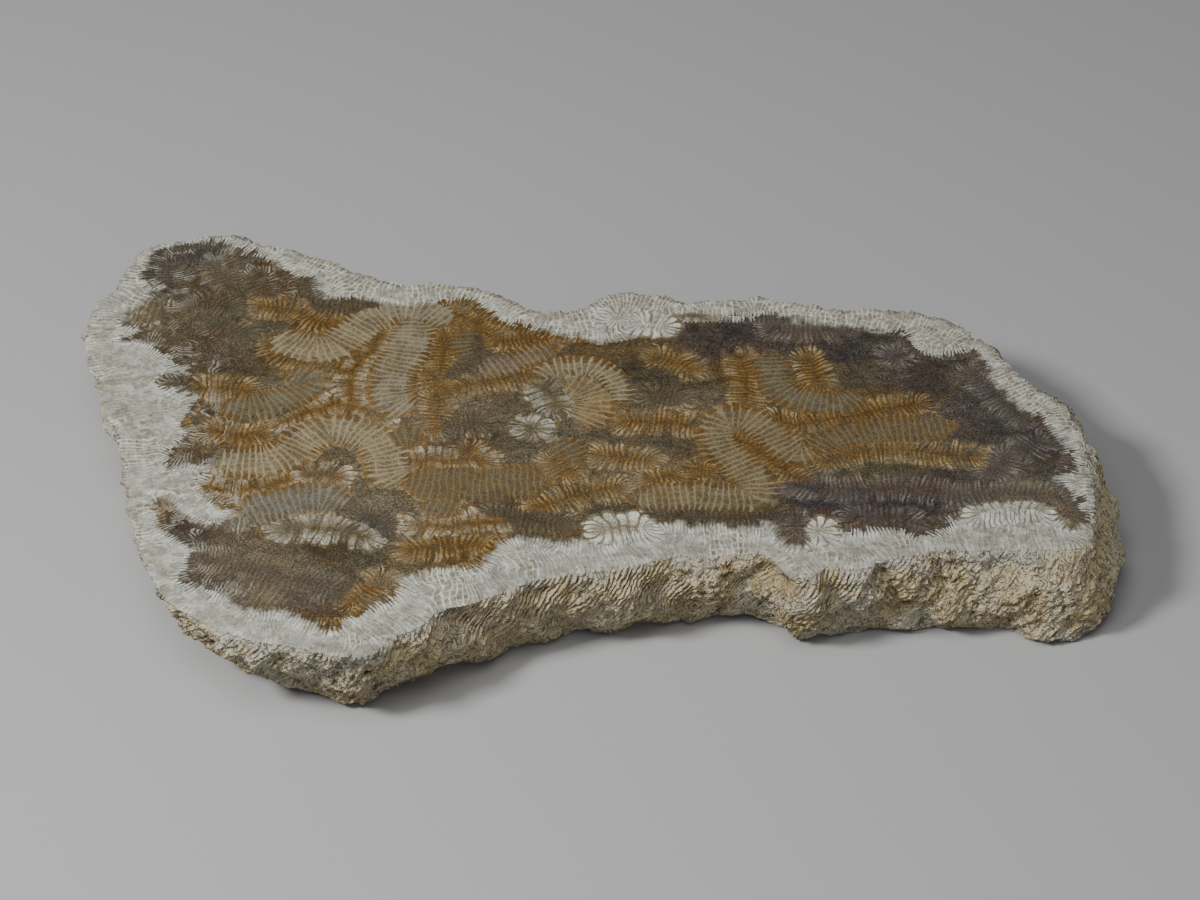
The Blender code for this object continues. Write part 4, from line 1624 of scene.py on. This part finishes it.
# %% Write the weathering
def weathered_offset(bench, given, form):
    """How far each point moves, as a vector in metres: outwards, and down or up at the edges."""
    push = form.flute * given["Flute Height"]
    push = push + form.fibre * given["Strand Height"] * form.fibrous * form.pebbled
    push = push + form.ledge * given["Ledge Height"] * (1.0 - form.fibrous) * form.pebbled
    crags = form.crag * (2.0 - form.fibrous) * form.pebbled + form.lump * 2.2
    push = push + crags * given["Crag Height"]
    push = push + form.crumb * given["Crumb Height"] * (1.5 - form.fibrous)
    push = push - form.pit * given["Pit Depth"]
    wear = bench.noise(1.6, 4.0, 0.7).rise(0.36, 0.60) * given["Edge Wear"]
    wear = wear * bench.noise(9.0, 2.0).rise(0.30, 0.55)
    wear = wear.most((0.25 - form.flute) * 0.9 * form.patch)
    height = THICKNESS - form.depth
    push = push * form.from_top * (0.55 + height.rise(-0.4, 1.8) * 0.45)
    push = (push - wear * (1.0 - form.from_top)) * form.netted
    drop = wear * form.depth.fall(0.0, 0.4) * form.netted * -0.4
    foot = bench.noise(2.2, 3.0, 0.6).rise(0.42, 0.70) * height.fall(0.0, 0.6)
    lift = drop + foot * given["Foot Wear"] * form.netted
    out = named(bench, "out", "FLOAT_VECTOR").scaled(push * MM)
    return out.moved(bench.joined(0.0, 0.0, lift * MM))


def write_weathering(skin_material):
    bench, given = new_group()
    form = weathered_forms(bench, given)
    offset = weathered_offset(bench, given, form)
    layered = form.fibre * form.fibrous + form.ledge * (1.0 - form.fibrous)
    rough = layered * 1.2 + form.crag * 1.8 + form.crumb * 0.6 - form.pit * 1.2
    relief = (form.flute * 1.3 + rough * form.pebbled) * form.from_top
    sockets = {"Geometry": given["Geometry"], "Offset": offset}
    shape = bench.node("GeometryNodeSetPosition", {}, sockets)
    for name, value in {"relief": relief, "drift": form.drift, "fluted": form.fluted}.items():
        sockets = {"Geometry": shape, "Name": name, "Value": value}
        shape = bench.node("GeometryNodeStoreNamedAttribute", {"domain": "POINT"}, sockets)
    shape = bench.node("GeometryNodeRealizeInstances", {}, {"Geometry": shape})
    on_skin = named(bench, "is_skin").above(0.5)
    sockets = {"Geometry": shape, "Selection": on_skin, "Material": skin_material}
    shape = bench.node("GeometryNodeSetMaterial", {}, sockets)
    bench.node("NodeGroupOutput", {}, {"Geometry": shape})
    return bench.tree


weathering = write_weathering(weathered)
print("weathering:", len(weathering.nodes), "nodes")

# %% [markdown]
# The group is used as a modifier, its inputs are set, and the evaluated mesh is kept as the
# finished piece.

# %% Weather the slab
SHARP_ANGLE = 50.0


def weather(mesh):
    for material in (polished, sawn):
        mesh.materials.append(material)
    is_base = np.repeat([0, 1], [FACES + QUADS, len(base_owner)])
    mesh.polygons.foreach_set("material_index", is_base)
    raw = placed("coral_slab_raw", mesh)
    modifier = raw.modifiers.new("weathering", "NODES")
    modifier.node_group = weathering
    for item in weathering.interface.items_tree:
        if item.in_out == "INPUT" and item.name in WEATHER:
            modifier[item.identifier] = WEATHER[item.name]
    graph = bpy.context.evaluated_depsgraph_get()
    done = bpy.data.meshes.new_from_object(raw.evaluated_get(graph))
    bpy.data.objects.remove(raw)
    return placed("coral_slab_finished", done)


slab = weather(slab_mesh)
slab.data.shade_smooth()
slab.data.set_sharp_from_angle(angle=math.radians(SHARP_ANGLE))
print("materials:", [m.name for m in slab.data.materials])
print("attributes:", ", ".join(a.name for a in slab.data.attributes if not a.name.startswith(".")))

# %% [markdown]
# ## Checks and hand-over
# The finished piece has to be closed, with its faces outwards.


# %% Check the piece
def check_closed(piece):
    bm = bmesh.new()
    bm.from_mesh(piece.data)
    open_edges = sum(1 for e in bm.edges if not e.is_manifold)
    volume = bm.calc_volume(signed=True) * 1e6
    triangles = sum(len(f.verts) - 2 for f in bm.faces)
    bm.free()
    print(f"open edges: {open_edges}, volume: {volume:.0f} cm3, triangles: {triangles}")
    if open_edges or volume <= 0:
        raise RuntimeError("the slab isn't closed, or it is inside out")


check_closed(slab)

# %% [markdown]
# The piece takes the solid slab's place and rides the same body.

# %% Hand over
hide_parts("coral_slab")
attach(slab, "root")
